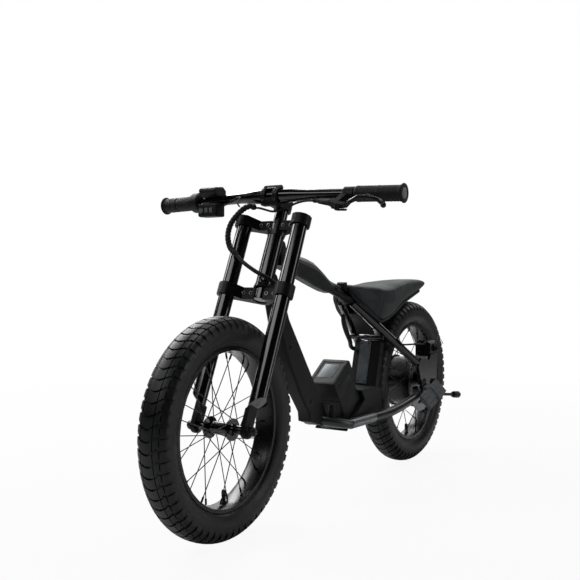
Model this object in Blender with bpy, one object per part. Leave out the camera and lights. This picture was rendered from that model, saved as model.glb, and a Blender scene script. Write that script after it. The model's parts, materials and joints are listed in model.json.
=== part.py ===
# Electric balance bike for a child: motocross frame with a double-crown fork,
# hub motor in the rear wheel, lift-out battery behind the down tube.
# Metres, +X forward, +Y to the rider's left, +Z up, origin on the ground
# half way between the two axles.
import math
import bmesh
import bpy
from mathutils import Matrix, Vector

# clearances
GAP = 0.0003
RUNNING = 0.0006

# wheels and tyres
TYRE_RADIUS = 0.2182
TYRE_HALF_WIDTH = 0.0338
TREAD_DEPTH = 0.0040
CENTRE_BLOCK_HALF = 0.0145
RIM_FLANGE_RADIUS = 0.1590
RIM_HALF_WIDTH = 0.0234
RIM_WALL = 0.0018
BEAD_SEAT_RADIUS = 0.1527
RIM_INNER_RADIUS = 0.1478
WHEEL_SEGMENTS = 40
SPOKES = 28
SPOKE_RADIUS = 0.0010
VALVE_RADIUS = 0.0030
VALVE_ANGLE = -93
VALVE_LENGTH = 0.0240

# front hub, axle and feet
FRONT_AXLE_RADIUS = 0.0050
FRONT_HUB_HALF = 0.0550
FRONT_BARREL_RADIUS = 0.0130
FRONT_FLANGE_RADIUS = 0.0220
FRONT_FLANGE_Y = 0.0270
FOOT_THICKNESS = 0.0110
FOOT_BOSS_RADIUS = 0.0150
FRONT_NUT_RADIUS = 0.0095
FRONT_NUT_LENGTH = 0.0165

# rear hub motor, rotor and axle
REAR_AXLE_RADIUS = 0.0060
MOTOR_RADIUS = 0.0660
MOTOR_FLANGE_RADIUS = 0.0705
MOTOR_HALF_WIDTH = 0.0400
MOTOR_FLANGE_Y = 0.0305
MOTOR_COVER = 0.0040
STATOR_RADIUS = 0.0570
ROTOR_BOSS_LENGTH = 0.0068
ROTOR_RADIUS = 0.0800
ROTOR_THICKNESS = 0.0018
ROTOR_HUB_RADIUS = 0.0240
DROPOUT_INNER_Y = 0.0782
DROPOUT_THICKNESS = 0.0070
REAR_NUT_RADIUS = 0.0105
REAR_NUT_LENGTH = 0.0070

# steering geometry
HEAD_ANGLE = math.radians(24.66)
FORK_OFFSET = 0.0218
AXLE_BELOW_CROWN = 0.2651
LEG_OFFSET = 0.0235
LEG_SPREAD = 0.0700
LEG_RADIUS = 0.0160
LEG_TOP = 0.1934
LEG_CUT = -0.2111
LEG_CUT_ANGLE = math.radians(40)
CROWN_LOW = 0.0120
CROWN_LOW_HEIGHT = 0.0265
CROWN_HIGH_HEIGHT = 0.0224
CROWN_CLAMP_WALL = 0.0055
HEAD_TUBE_RADIUS = 0.0180
HEAD_TUBE_BORE = 0.0160
HEAD_TUBE_START = 0.0480
HEAD_TUBE_END = 0.1580
STEERER_RADIUS = 0.0143
STEERER_TOP = 0.2500
CUP_RADIUS = 0.0205

# handlebar and what it carries
BAR_RISE = 0.2327
BAR_AHEAD = 0.0444
BAR_CENTRE_RADIUS = 0.0155
BAR_RADIUS = 0.0111
BAR_HALF_LENGTH = 0.3008
BAR_SWEEP = 0.0358
BAR_DROP = 0.0313
STEM_WALL = 0.0050
STEM_HALF_WIDTH = 0.0210
STEM_CLAMP_HEIGHT = 0.0240
GRIP_RADIUS = 0.0165
GRIP_FLANGE_RADIUS = 0.0195
GRIP_LENGTH = 0.1038
GRIP_CAP = 0.0033
THROTTLE_LENGTH = 0.0437
THROTTLE_RING_RADIUS = 0.0225
THROTTLE_RING_LENGTH = 0.0226
DISPLAY_HALF = 0.0230
SWITCH_HALF = 0.0250

# frame points, measured ahead of and above the rear axle
APEX_AHEAD = 0.3366
APEX_UP = 0.2283
BEAM_TAIL_AHEAD = 0.4580
BEAM_TAIL_UP = 0.2612
RAIL_END_AHEAD = 0.0902
RAIL_END_UP = 0.0613
RAIL_END_Y = 0.0749
RAIL_APEX_Y = 0.0140
RAIL_RADIUS = 0.0108
BACKBONE_RADIUS = 0.0104
BACKBONE_FRONT_AHEAD = 0.3922
BACKBONE_FRONT_UP = 0.2545
BACKBONE_REAR_AHEAD = 0.3430
BACKBONE_REAR_UP = 0.2402
BEAM_HALF_WIDTH = 0.0110
BRIDGE_RADIUS = 0.0055
CHAINSTAY_RADIUS = 0.0115
CHAINSTAY_END_Y = 0.0765
TUBE_HALF_WIDTH = 0.0170
FRONT_REACH = 0.3962

# motor controller, battery and dock
TYRE_CLEARANCE = 0.0100
CONTROLLER_TILT = math.radians(16.5)
CONTROLLER_DEPTH = 0.0320
CONTROLLER_LENGTH = 0.1160
CONTROLLER_DROP = 0.0586
CONTROLLER_HALF_WIDTH = 0.0365
CONTROLLER_FACE_HALF = 0.0160
CONTROLLER_BEVEL = 0.0120
COVER_THICKNESS = 0.0030
BATTERY_TILT = math.radians(33.6)
BATTERY_DEPTH = 0.0920
BATTERY_HALF_WIDTH = 0.0370
BATTERY_LENGTH = 0.1200
BATTERY_CAP_LENGTH = 0.0520
BATTERY_STEP = 0.0040
BATTERY_AHEAD = 0.0546
BATTERY_DROP = 0.0235
DOCK_HALF_WIDTH = 0.0436
DOCK_UNDER = 0.0060
FOOT_AHEAD = 0.0504
FOOT_UP = 0.0145

# seat
PAN_THICKNESS = 0.0070
PAN_BAND = 0.0070
SEAT_NOSE_HALF = 0.0105

# small parts
CABLE_RADIUS = 0.0025
HARNESS_RADIUS = 0.0042
WRAP_RADIUS = 0.0062
WRAP_PITCH = 0.0062
LOOM_RADIUS = 0.0060
KICKSTAND_LENGTH = 0.1600
PEDAL_LENGTH = 0.1040
FOOTREST_HANG = 55
FOOTREST_AHEAD = 0.0745
FOOTREST_UP = -0.0030
PEDAL_WIDTH = 0.0380
PEDAL_THICKNESS = 0.0100

TAU = math.tau

# looks: colour, roughness, metallic
LOOKS = {
    "gloss_black": ((0.010, 0.010, 0.011), 0.16, 0.0),
    "satin_black": ((0.016, 0.017, 0.018), 0.42, 0.0),
    "anodised": ((0.020, 0.020, 0.022), 0.30, 0.8),
    "tread_rubber": ((0.018, 0.018, 0.019), 0.78, 0.0),
    "soft_rubber": ((0.014, 0.014, 0.015), 0.66, 0.0),
    "plastic": ((0.020, 0.021, 0.022), 0.52, 0.0),
    "grey_plastic": ((0.075, 0.080, 0.085), 0.58, 0.0),
    "vinyl": ((0.085, 0.090, 0.095), 0.55, 0.0),
    "steel": ((0.45, 0.45, 0.46), 0.28, 1.0),
    "dark_steel": ((0.10, 0.10, 0.105), 0.34, 1.0),
    "brushed_cover": ((0.13, 0.135, 0.14), 0.38, 0.6),
}

for old in list(bpy.data.objects):
    bpy.data.objects.remove(old)
scene = bpy.context.scene


# helpers: materials, objects and pivots

def look(name, kind):
    colour, roughness, metallic = LOOKS[kind]
    material = bpy.data.materials.new(name + "_" + kind)
    material.use_nodes = True
    shader = material.node_tree.nodes["Principled BSDF"]
    shader.inputs["Base Color"].default_value = (*colour, 1.0)
    shader.inputs["Roughness"].default_value = roughness
    shader.inputs["Metallic"].default_value = metallic
    return material


def hang(item, parent):
    item.parent = parent
    item.matrix_parent_inverse = parent.matrix_world.inverted()


def pivot(name, place, parent=None):
    empty = bpy.data.objects.new(name, None)
    empty.empty_display_size = 0.02
    empty.location = place
    scene.collection.objects.link(empty)
    bpy.context.view_layer.update()
    if parent:
        hang(empty, parent)
        bpy.context.view_layer.update()
    return empty


def solid(name, bm, kind, parent=None, origin=None, crease=32):
    place = Vector(origin) if origin else Vector()
    bmesh.ops.remove_doubles(bm, verts=bm.verts, dist=1e-6)
    bmesh.ops.recalc_face_normals(bm, faces=bm.faces)
    bm.transform(Matrix.Translation(-place))
    mesh = bpy.data.meshes.new(name)
    bm.to_mesh(mesh)
    bm.free()
    mesh.materials.append(look(name, kind))
    mesh.shade_smooth()
    mesh.set_sharp_from_angle(angle=math.radians(crease))
    item = bpy.data.objects.new(name, mesh)
    item.location = place
    scene.collection.objects.link(item)
    if parent:
        hang(item, parent)
    return item


def guide(name, bm):
    bmesh.ops.remove_doubles(bm, verts=bm.verts, dist=1e-6)
    bmesh.ops.recalc_face_normals(bm, faces=bm.faces)
    mesh = bpy.data.meshes.new(name)
    bm.to_mesh(mesh)
    bm.free()
    item = bpy.data.objects.new(name, mesh)
    item.hide_render = True
    item.display_type = "WIRE"
    scene.collection.objects.link(item)
    return item


def combine(item, other, operation):
    change = item.modifiers.new(other.name, "BOOLEAN")
    change.operation = operation
    change.solver = "EXACT"
    change.object = other


# helpers: shapes

def frame_about(direction):
    along = Vector(direction).normalized()
    seed = Vector((0, 0, 1)) if abs(along.z) < 0.9 else Vector((1, 0, 0))
    first = along.cross(seed).normalized()
    return along, first, along.cross(first).normalized()


def loft(bm, rings, closed=False, caps=True):
    made = [[bm.verts.new(point) for point in ring] for ring in rings]
    pairs = list(zip(made, made[1:]))
    if closed:
        pairs.append((made[-1], made[0]))
    for lower, upper in pairs:
        count = len(lower)
        for i in range(count):
            j = (i + 1) % count
            bm.faces.new((lower[i], lower[j], upper[j], upper[i]))
    if caps and not closed:
        bm.faces.new(made[0])
        bm.faces.new(made[-1])
    return made


def turned(bm, profile, place, direction, segments, phase=0.0, flat=False):
    # profile points are (distance along the axis, radius); a radius of 0 closes on the axis
    along, first, second = frame_about(direction)
    grow = 1 / math.cos(math.pi / segments) if flat else 1.0
    open_ended = profile[0][1] == 0 and profile[-1][1] == 0
    rings = []
    for distance, radius in profile:
        centre = Vector(place) + along * distance
        if radius == 0:
            rings.append([bm.verts.new(centre)])
            continue
        ring = []
        for k in range(segments):
            angle = phase + TAU * k / segments
            spoke = first * math.cos(angle) + second * math.sin(angle)
            ring.append(bm.verts.new(centre + spoke * radius * grow))
        rings.append(ring)
    pairs = list(zip(rings, rings[1:]))
    if not open_ended:
        pairs.append((rings[-1], rings[0]))
    for lower, upper in pairs:
        for k in range(segments):
            n = (k + 1) % segments
            if len(lower) == 1:
                bm.faces.new((lower[0], upper[n], upper[k]))
            elif len(upper) == 1:
                bm.faces.new((lower[k], lower[n], upper[0]))
            else:
                bm.faces.new((lower[k], lower[n], upper[n], upper[k]))
    return bm


def tube(bm, points, radius, sides, caps=True):
    path = [Vector(p) for p in points]
    widths = radius if isinstance(radius, list) else [radius] * len(path)
    along, first, second = frame_about(path[1] - path[0])
    rings = []
    for i, point in enumerate(path):
        ahead = path[min(i + 1, len(path) - 1)] - path[max(i - 1, 0)]
        along = ahead.normalized()
        first = (first - along * first.dot(along)).normalized()
        second = along.cross(first)
        ring = []
        for k in range(sides):
            angle = TAU * (k + 0.5) / sides
            ring.append(point + (first * math.cos(angle) + second * math.sin(angle)) * widths[i])
        rings.append(ring)
    loft(bm, rings, caps=caps)
    return bm


def prism(bm, outline, corner, first, second, depth):
    # outline points are (along first, along second), extruded by the vector depth
    base = [Vector(corner) + first * u + second * v for u, v in outline]
    loft(bm, [base, [p + depth for p in base]])
    return bm


def block(bm, centre, size, axes=None):
    directions = axes or (Vector((1, 0, 0)), Vector((0, 1, 0)), Vector((0, 0, 1)))
    a, b, c = [d * (s / 2) for d, s in zip(directions, size)]
    middle = Vector(centre)
    base = [middle - a - b - c, middle + a - b - c, middle + a + b - c, middle - a + b - c]
    loft(bm, [base, [p + c * 2 for p in base]])
    return bm


def soften(bm, width, angle=30, segments=1):
    bmesh.ops.recalc_face_normals(bm, faces=bm.faces)
    edges = [e for e in bm.edges if e.is_convex and e.calc_face_angle(0) > math.radians(angle)]
    bmesh.ops.bevel(bm, geom=edges, offset=width, offset_type="OFFSET", segments=segments,
                    profile=0.5, affect="EDGES", material=-1, clamp_overlap=True)


def slice_off(bm, point, normal):
    # takes away the side that the normal points to
    parts = list(bm.verts) + list(bm.edges) + list(bm.faces)
    cut = bmesh.ops.bisect_plane(bm, geom=parts, plane_co=point, plane_no=normal, clear_outer=True)
    rim = [e for e in cut["geom_cut"] if isinstance(e, bmesh.types.BMEdge)]
    bmesh.ops.edgeloop_fill(bm, edges=rim)


def arc(centre_u, centre_v, radius, start, end, steps):
    points = []
    for k in range(steps + 1):
        angle = math.radians(start + (end - start) * k / steps)
        points.append((centre_u + radius * math.cos(angle), centre_v + radius * math.sin(angle)))
    return points


def smooth_route(points, spacing):
    route = [Vector(p) for p in points]
    fine = []
    for i in range(len(route) - 1):
        before = route[max(i - 1, 0)]
        after = route[min(i + 2, len(route) - 1)]
        a, b = route[i], route[i + 1]
        for k in range(20):
            t = k / 20
            fine.append(0.5 * (2 * a + (b - before) * t + (2 * before - 5 * a + 4 * b - after) * t * t
                               + (3 * a - before - 3 * b + after) * t ** 3))
    fine.append(route[-1])
    lengths = [0.0]
    for a, b in zip(fine, fine[1:]):
        lengths.append(lengths[-1] + (b - a).length)
    count = max(2, round(lengths[-1] / spacing))
    even = []
    j = 0
    for k in range(count + 1):
        want = lengths[-1] * k / count
        while j < len(fine) - 2 and lengths[j + 1] < want:
            j += 1
        share = (want - lengths[j]) / max(lengths[j + 1] - lengths[j], 1e-9)
        even.append(fine[j].lerp(fine[j + 1], min(max(share, 0), 1)))
    return even


def cord(name, points, radii, kind, parent, rounds=2):
    largest = max(radii)
    curve = bpy.data.curves.new(name, "CURVE")
    curve.dimensions = "3D"
    curve.bevel_depth = largest
    curve.bevel_resolution = rounds
    curve.use_fill_caps = True
    line = curve.splines.new("POLY")
    line.points.add(len(points) - 1)
    for target, point, radius in zip(line.points, points, radii):
        target.co = (*point, 1.0)
        target.radius = radius / largest
    curve.materials.append(look(name, kind))
    item = bpy.data.objects.new(name, curve)
    scene.collection.objects.link(item)
    hang(item, parent)
    return item


# layout: everything follows from the wheels, the controller, the battery and the down tube

def tilted(angle):
    # forward normal and upward direction of something that leans back by the angle
    return Vector((math.cos(angle), 0, math.sin(angle))), Vector((-math.sin(angle), 0, math.cos(angle)))


case_out, case_up = tilted(CONTROLLER_TILT)
pack_out = Vector((math.cos(BATTERY_TILT), 0, -math.sin(BATTERY_TILT)))
pack_up = Vector((math.sin(BATTERY_TILT), 0, math.cos(BATTERY_TILT)))
case_face = TYRE_RADIUS + TYRE_CLEARANCE + CONTROLLER_DEPTH
case_corner = case_out * case_face - case_up * CONTROLLER_DROP
pack_rear = case_corner + Vector((BATTERY_AHEAD, 0, -BATTERY_DROP))
pack_front = pack_rear + pack_out * BATTERY_DEPTH
foot_point = pack_front + Vector((FOOT_AHEAD, 0, FOOT_UP))
wheelbase = foot_point.x + FRONT_REACH
rear_axle_place = Vector((-wheelbase / 2, 0, TYRE_RADIUS))
front_axle_place = Vector((wheelbase / 2, 0, TYRE_RADIUS))
side = Vector((0, 1, 0))
up_head = Vector((-math.sin(HEAD_ANGLE), 0, math.cos(HEAD_ANGLE)))
out_head = Vector((math.cos(HEAD_ANGLE), 0, math.sin(HEAD_ANGLE)))
crown_base = front_axle_place - out_head * FORK_OFFSET + up_head * AXLE_BELOW_CROWN
crown_high = LEG_TOP - CROWN_HIGH_HEIGHT


def rear(ahead, y, up):
    return rear_axle_place + Vector((ahead, y, up))


def foot(ahead, y, up):
    return rear_axle_place + foot_point + Vector((ahead, y, up))


def fork(along, out, y):
    return crown_base + up_head * along + out_head * out + side * y


frame_root = pivot("frame_datum", rear_axle_place)
steer_root = pivot("steering_axis", crown_base, frame_root)
front_root = pivot("front_wheel_axis", front_axle_place, steer_root)
rear_root = pivot("rear_wheel_axis", rear_axle_place, frame_root)


# wheels: block-tread tyre, box rim and laced spokes

def tyre(name, centre, parent):
    grow = 1 / math.cos(math.pi / WHEEL_SEGMENTS)
    bead_y = RIM_HALF_WIDTH - RIM_WALL - GAP
    base = TYRE_RADIUS - TREAD_DEPTH
    half = [(bead_y, BEAD_SEAT_RADIUS + GAP),
            (bead_y, RIM_FLANGE_RADIUS + 2 * GAP),
            (TYRE_HALF_WIDTH - 0.0030, RIM_FLANGE_RADIUS + 0.0120),
            (TYRE_HALF_WIDTH, RIM_FLANGE_RADIUS + 0.0290),
            (TYRE_HALF_WIDTH - 0.0048, base - 0.0068),
            (CENTRE_BLOCK_HALF, base)]
    profile = half + [(-y, r) for y, r in reversed(half)]
    bm = bmesh.new()
    rings = []
    for k in range(WHEEL_SEGMENTS):
        angle = TAU * (k + 0.5) / WHEEL_SEGMENTS
        radial = Vector((math.cos(angle), 0, math.sin(angle)))
        rings.append([centre + side * y + radial * (r * grow) for y, r in profile])
    loft(bm, rings, closed=True)
    bm.faces.ensure_lookup_table()
    columns = len(profile)
    middle = len(half) - 1
    blocks = []
    for index, face in enumerate(bm.faces):
        row, column = divmod(index, columns)
        if row % 2 and column == middle:
            blocks.append((face, TREAD_DEPTH, 0.93))
        if row % 2 == 0 and column in (middle - 1, middle + 1):
            blocks.append((face, TREAD_DEPTH * 0.85, 0.88))
    bmesh.ops.recalc_face_normals(bm, faces=bm.faces)
    for face, height, draft in blocks:
        normal = face.normal.copy()
        raised = bmesh.ops.extrude_discrete_faces(bm, faces=[face])["faces"][0]
        top = raised.calc_center_median() + normal * height * grow
        for corner in raised.verts:
            offset = corner.co + normal * height * grow - top
            corner.co = top + offset * draft
    return solid(name, bm, "tread_rubber", parent, centre, crease=28)


def rim(name, centre, parent, valve_angle):
    half = [(RIM_HALF_WIDTH - RIM_WALL, RIM_FLANGE_RADIUS),
            (RIM_HALF_WIDTH, RIM_FLANGE_RADIUS),
            (RIM_HALF_WIDTH, BEAD_SEAT_RADIUS - 0.0010),
            (RIM_HALF_WIDTH * 0.45, RIM_INNER_RADIUS)]
    seat = [(RIM_HALF_WIDTH - RIM_WALL, BEAD_SEAT_RADIUS)]
    loop = seat + half + [(-y, r) for y, r in reversed(half)] + [(-y, r) for y, r in seat]
    bm = bmesh.new()
    turned(bm, loop, centre, side, WHEEL_SEGMENTS, math.pi / WHEEL_SEGMENTS, flat=True)
    item = solid(name, bm, "anodised", parent, centre)
    stem = bmesh.new()
    radial = Vector((math.cos(valve_angle), 0, math.sin(valve_angle)))
    start = centre + radial * (RIM_INNER_RADIUS + 0.002)
    reach = -VALVE_LENGTH - 0.002
    profile = [(0, 0), (0, VALVE_RADIUS), (reach * 0.75, VALVE_RADIUS),
               (reach * 0.8, VALVE_RADIUS * 0.7), (reach, VALVE_RADIUS * 0.7), (reach, 0)]
    turned(stem, profile, start, radial, 8)
    combine(item, guide(name + "_valve", stem), "UNION")
    return item


def spokes(name, centre, flange_radius, flange_y, lean):
    bm = bmesh.new()
    reach = RIM_INNER_RADIUS * math.cos(math.pi / WHEEL_SEGMENTS) - 2 * GAP
    for k in range(SPOKES):
        hand = 1 if k % 2 else -1
        leading = 1 if (k // 2) % 2 else -1
        rim_angle = TAU * k / SPOKES + 0.06
        hub_angle = rim_angle + leading * lean
        low = centre + Vector((math.cos(hub_angle), 0, math.sin(hub_angle))) * (flange_radius - 0.0030)
        low += side * hand * (flange_y + leading * 0.0012)
        high = centre + Vector((math.cos(rim_angle), 0, math.sin(rim_angle))) * reach
        high += side * hand * (0.0050 + leading * 0.0012)
        tube(bm, [low, high], SPOKE_RADIUS, 3)
    return guide(name + "_spokes", bm)


valve_turn = math.radians(VALVE_ANGLE)
tyre("front_tyre", front_axle_place, front_root)
rim("front_rim", front_axle_place, front_root, valve_turn)
tyre("rear_tyre", rear_axle_place, rear_root)
rim("rear_rim", rear_axle_place, rear_root, valve_turn)

hub_end = FRONT_HUB_HALF - GAP
end_radius = FRONT_BARREL_RADIUS * 0.68
front_hub_half = [(hub_end, FRONT_AXLE_RADIUS + GAP), (hub_end, end_radius),
                  (FRONT_FLANGE_Y + 0.0080, end_radius),
                  (FRONT_FLANGE_Y + 0.0020, FRONT_BARREL_RADIUS),
                  (FRONT_FLANGE_Y + 0.0020, FRONT_FLANGE_RADIUS),
                  (FRONT_FLANGE_Y - 0.0020, FRONT_FLANGE_RADIUS),
                  (FRONT_FLANGE_Y - 0.0045, FRONT_BARREL_RADIUS)]
bm = bmesh.new()
turned(bm, front_hub_half + [(-y, r) for y, r in reversed(front_hub_half)], front_axle_place, side, 16)
hub = solid("front_hub", bm, "gloss_black", front_root, front_axle_place)
combine(hub, spokes("front_hub", front_axle_place, FRONT_FLANGE_RADIUS, FRONT_FLANGE_Y, 0.95), "UNION")

cavity = MOTOR_HALF_WIDTH - MOTOR_COVER
boss_end = MOTOR_HALF_WIDTH + ROTOR_BOSS_LENGTH
bore = REAR_AXLE_RADIUS + GAP
hub_profile = [(boss_end, bore), (boss_end, ROTOR_HUB_RADIUS), (MOTOR_HALF_WIDTH, ROTOR_HUB_RADIUS),
               (MOTOR_HALF_WIDTH, MOTOR_RADIUS - 0.0050),
               (MOTOR_FLANGE_Y + 0.0020, MOTOR_FLANGE_RADIUS),
               (MOTOR_FLANGE_Y - 0.0020, MOTOR_FLANGE_RADIUS),
               (MOTOR_FLANGE_Y - 0.0045, MOTOR_RADIUS),
               (0.0045 - MOTOR_FLANGE_Y, MOTOR_RADIUS),
               (0.0020 - MOTOR_FLANGE_Y, MOTOR_FLANGE_RADIUS),
               (-0.0020 - MOTOR_FLANGE_Y, MOTOR_FLANGE_RADIUS),
               (-MOTOR_HALF_WIDTH, MOTOR_RADIUS - 0.0050),
               (-MOTOR_HALF_WIDTH, 0.0180),
               (-boss_end, 0.0160), (-boss_end, bore),
               (-cavity, bore), (-cavity, STATOR_RADIUS + RUNNING + 0.0020),
               (cavity, STATOR_RADIUS + RUNNING + 0.0020), (cavity, bore)]
bm = bmesh.new()
turned(bm, hub_profile, rear_axle_place, side, 20)
hub = solid("rear_hub", bm, "gloss_black", rear_root, rear_axle_place)
combine(hub, spokes("rear_hub", rear_axle_place, MOTOR_FLANGE_RADIUS, MOTOR_FLANGE_Y, 0.42), "UNION")

# brake rotor: a ring carried on six arms
rotor_inner = boss_end + GAP
bm = bmesh.new()
turned(bm, [(rotor_inner, 0.0125), (rotor_inner, ROTOR_RADIUS),
            (rotor_inner + ROTOR_THICKNESS, ROTOR_RADIUS),
            (rotor_inner + ROTOR_THICKNESS, 0.0125)], rear_axle_place, side, 28)
rotor = solid("brake_rotor", bm, "steel", rear_root, rear_axle_place)
windows = bmesh.new()
for k in range(6):
    turn = 60 * k
    outline = arc(0, 0, ROTOR_RADIUS - 0.0185, turn + 8, turn + 52, 3)
    outline += arc(0, 0, ROTOR_HUB_RADIUS + 0.0040, turn + 42, turn + 2, 1)
    prism(windows, outline, rear_axle_place + side * (rotor_inner - 0.002),
          Vector((1, 0, 0)), Vector((0, 0, 1)), side * 0.006)
combine(rotor, guide("rotor_windows", windows), "DIFFERENCE")

# rear axle with its spacers and nuts, and the stator that it carries
spacer = DROPOUT_INNER_Y - GAP
plate_end = DROPOUT_INNER_Y + DROPOUT_THICKNESS + GAP
nut_end = plate_end + REAR_NUT_LENGTH
tip = nut_end + 0.0035
axle = [(tip, 0), (tip, REAR_AXLE_RADIUS * 0.8), (nut_end, REAR_AXLE_RADIUS), (nut_end, REAR_NUT_RADIUS),
        (plate_end, REAR_NUT_RADIUS), (plate_end, REAR_AXLE_RADIUS), (spacer, REAR_AXLE_RADIUS), (spacer, 0.0100),
        (boss_end + GAP, 0.0100), (boss_end + GAP, REAR_AXLE_RADIUS)]
bm = bmesh.new()
turned(bm, axle + [(-y, r) for y, r in reversed(axle)], rear_axle_place, side, 12)
solid("rear_axle", bm, "dark_steel", frame_root, rear_axle_place)
bm = bmesh.new()
stator_half = cavity - 0.0060
turned(bm, [(stator_half, bore), (stator_half, STATOR_RADIUS * 0.62), (stator_half * 0.6, STATOR_RADIUS),
            (-stator_half * 0.6, STATOR_RADIUS), (-stator_half, STATOR_RADIUS * 0.62),
            (-stator_half, bore)], rear_axle_place, side, 16)
solid("motor_stator", bm, "dark_steel", frame_root, rear_axle_place)

# front axle with domed nuts
foot_in = FRONT_HUB_HALF
foot_out = foot_in + FOOT_THICKNESS
nut_in = foot_out + GAP
nut_out = nut_in + FRONT_NUT_LENGTH
axle = [(nut_out, 0), (nut_out - 0.0012, FRONT_NUT_RADIUS * 0.55),
        (nut_out - 0.0050, FRONT_NUT_RADIUS * 0.92), (nut_out - 0.0075, FRONT_NUT_RADIUS),
        (nut_in + 0.0015, FRONT_NUT_RADIUS), (nut_in + 0.0015, FRONT_NUT_RADIUS * 1.25),
        (nut_in, FRONT_NUT_RADIUS * 1.25), (nut_in, FRONT_AXLE_RADIUS)]
bm = bmesh.new()
turned(bm, axle + [(-y, r) for y, r in reversed(axle)], front_axle_place, side, 12)
solid("front_axle", bm, "dark_steel", steer_root, front_axle_place)


# fork: two legs cut off on the slant, feet, two crowns and the steerer
cut_normals = {}
for hand, name in ((1, "left"), (-1, "right")):
    bm = bmesh.new()
    low = LEG_CUT - LEG_RADIUS * 1.6
    profile = [(low, 0), (low, LEG_RADIUS), (LEG_TOP - 0.0015, LEG_RADIUS), (LEG_TOP, LEG_RADIUS - 0.0015),
               (LEG_TOP, LEG_RADIUS * 0.62), (LEG_TOP - 0.0020, LEG_RADIUS * 0.56), (LEG_TOP - 0.0020, 0)]
    turned(bm, profile, fork(0, LEG_OFFSET, hand * LEG_SPREAD), up_head, 20)
    normal = -up_head * math.cos(LEG_CUT_ANGLE) + side * hand * math.sin(LEG_CUT_ANGLE)
    cut = fork(LEG_CUT, LEG_OFFSET, hand * LEG_SPREAD)
    cut_normals[hand] = (cut, normal)
    slice_off(bm, cut, normal)
    solid("fork_leg_" + name, bm, "gloss_black", steer_root, fork(0, LEG_OFFSET, hand * LEG_SPREAD))

for hand, name in ((1, "left"), (-1, "right")):
    bm = bmesh.new()
    reach = AXLE_BELOW_CROWN + LEG_CUT + 0.0050
    half = LEG_RADIUS * 0.86
    outline = arc(0, 0, FOOT_BOSS_RADIUS, 200, 340, 7)
    outline += [(half, 0.012), (half, reach), (-half, reach), (-half, 0.012)]
    shift = LEG_OFFSET - FORK_OFFSET
    outline = [(u + (shift if v > 0.011 else 0), v) for u, v in outline]
    inner = front_axle_place + side * hand * foot_in
    prism(bm, outline, inner, out_head, up_head, side * hand * FOOT_THICKNESS)
    cut, normal = cut_normals[hand]
    slice_off(bm, cut + normal * GAP, -normal)
    item = solid("fork_foot_" + name, bm, "satin_black", steer_root, front_axle_place)
    hole = bmesh.new()
    reach = FOOT_THICKNESS + 0.004
    turned(hole, [(0, 0), (0, FRONT_AXLE_RADIUS + GAP), (reach, FRONT_AXLE_RADIUS + GAP), (reach, 0)],
           inner - side * hand * 0.002, side * hand, 16)
    combine(item, guide("foot_hole_" + name, hole), "DIFFERENCE")


def crown(name, start, height, boss):
    clamp = LEG_RADIUS + CROWN_CLAMP_WALL
    waist = 0.0100
    outline = []
    for hand in (1, -1):
        ends = (-38, 205) if hand == 1 else (-205, 38)
        around = arc(LEG_OFFSET, hand * LEG_SPREAD, clamp, *ends, 8)
        back = arc(0, 0, boss, 140, 180, 2) if hand == 1 else arc(0, 0, boss, 200, 220, 1)
        if hand == 1:
            outline += [(waist, 0.040)] + around + back
        else:
            outline += back + around + [(waist, -0.040)]
    bm = bmesh.new()
    prism(bm, outline, fork(start, 0, 0), out_head, side, up_head * height)
    item = solid(name, bm, "gloss_black", steer_root, fork(start, 0, 0))
    bores = bmesh.new()
    length = height + 0.004
    for y, out, radius in ((LEG_SPREAD, LEG_OFFSET, LEG_RADIUS), (-LEG_SPREAD, LEG_OFFSET, LEG_RADIUS),
                           (0, 0, STEERER_RADIUS)):
        wide = radius + GAP
        turned(bores, [(0, 0), (0, wide), (length, wide), (length, 0)], fork(start - 0.002, out, y),
               up_head, 18)
    combine(item, guide(name + "_bores", bores), "DIFFERENCE")
    return item


crown("upper_crown", crown_high, CROWN_HIGH_HEIGHT, 0.0215)
crown("lower_crown", CROWN_LOW, CROWN_LOW_HEIGHT, 0.0235)

bm = bmesh.new()
steerer_low = CROWN_LOW + 0.0020
turned(bm, [(steerer_low, 0), (steerer_low, STEERER_RADIUS), (STEERER_TOP - 0.0012, STEERER_RADIUS),
            (STEERER_TOP, STEERER_RADIUS * 0.9), (STEERER_TOP, 0)], fork(0, 0, 0), up_head, 16)
solid("steerer", bm, "gloss_black", steer_root, fork(0, 0, 0))

# head tube and its two bearing cups
bm = bmesh.new()
turned(bm, [(HEAD_TUBE_START, HEAD_TUBE_BORE), (HEAD_TUBE_START, HEAD_TUBE_RADIUS),
            (HEAD_TUBE_END, HEAD_TUBE_RADIUS), (HEAD_TUBE_END, HEAD_TUBE_BORE)], fork(0, 0, 0), up_head, 18)
solid("head_tube", bm, "satin_black", frame_root, fork(0, 0, 0))
cup_low = CROWN_LOW + CROWN_LOW_HEIGHT + GAP
for name, start, end, taper in (("headset_lower", cup_low, HEAD_TUBE_START - GAP, 1),
                                ("headset_upper", HEAD_TUBE_END + GAP, crown_high - GAP, -1)):
    bm = bmesh.new()
    wide = CUP_RADIUS
    near = wide if taper == 1 else wide - 0.0020
    far = wide - 0.0020 if taper == 1 else wide
    turned(bm, [(start, STEERER_RADIUS + GAP), (start, near), (end, far), (end, STEERER_RADIUS + GAP)],
           fork(0, 0, 0), up_head, 16)
    solid(name, bm, "anodised", frame_root, fork(0, 0, 0))

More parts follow.
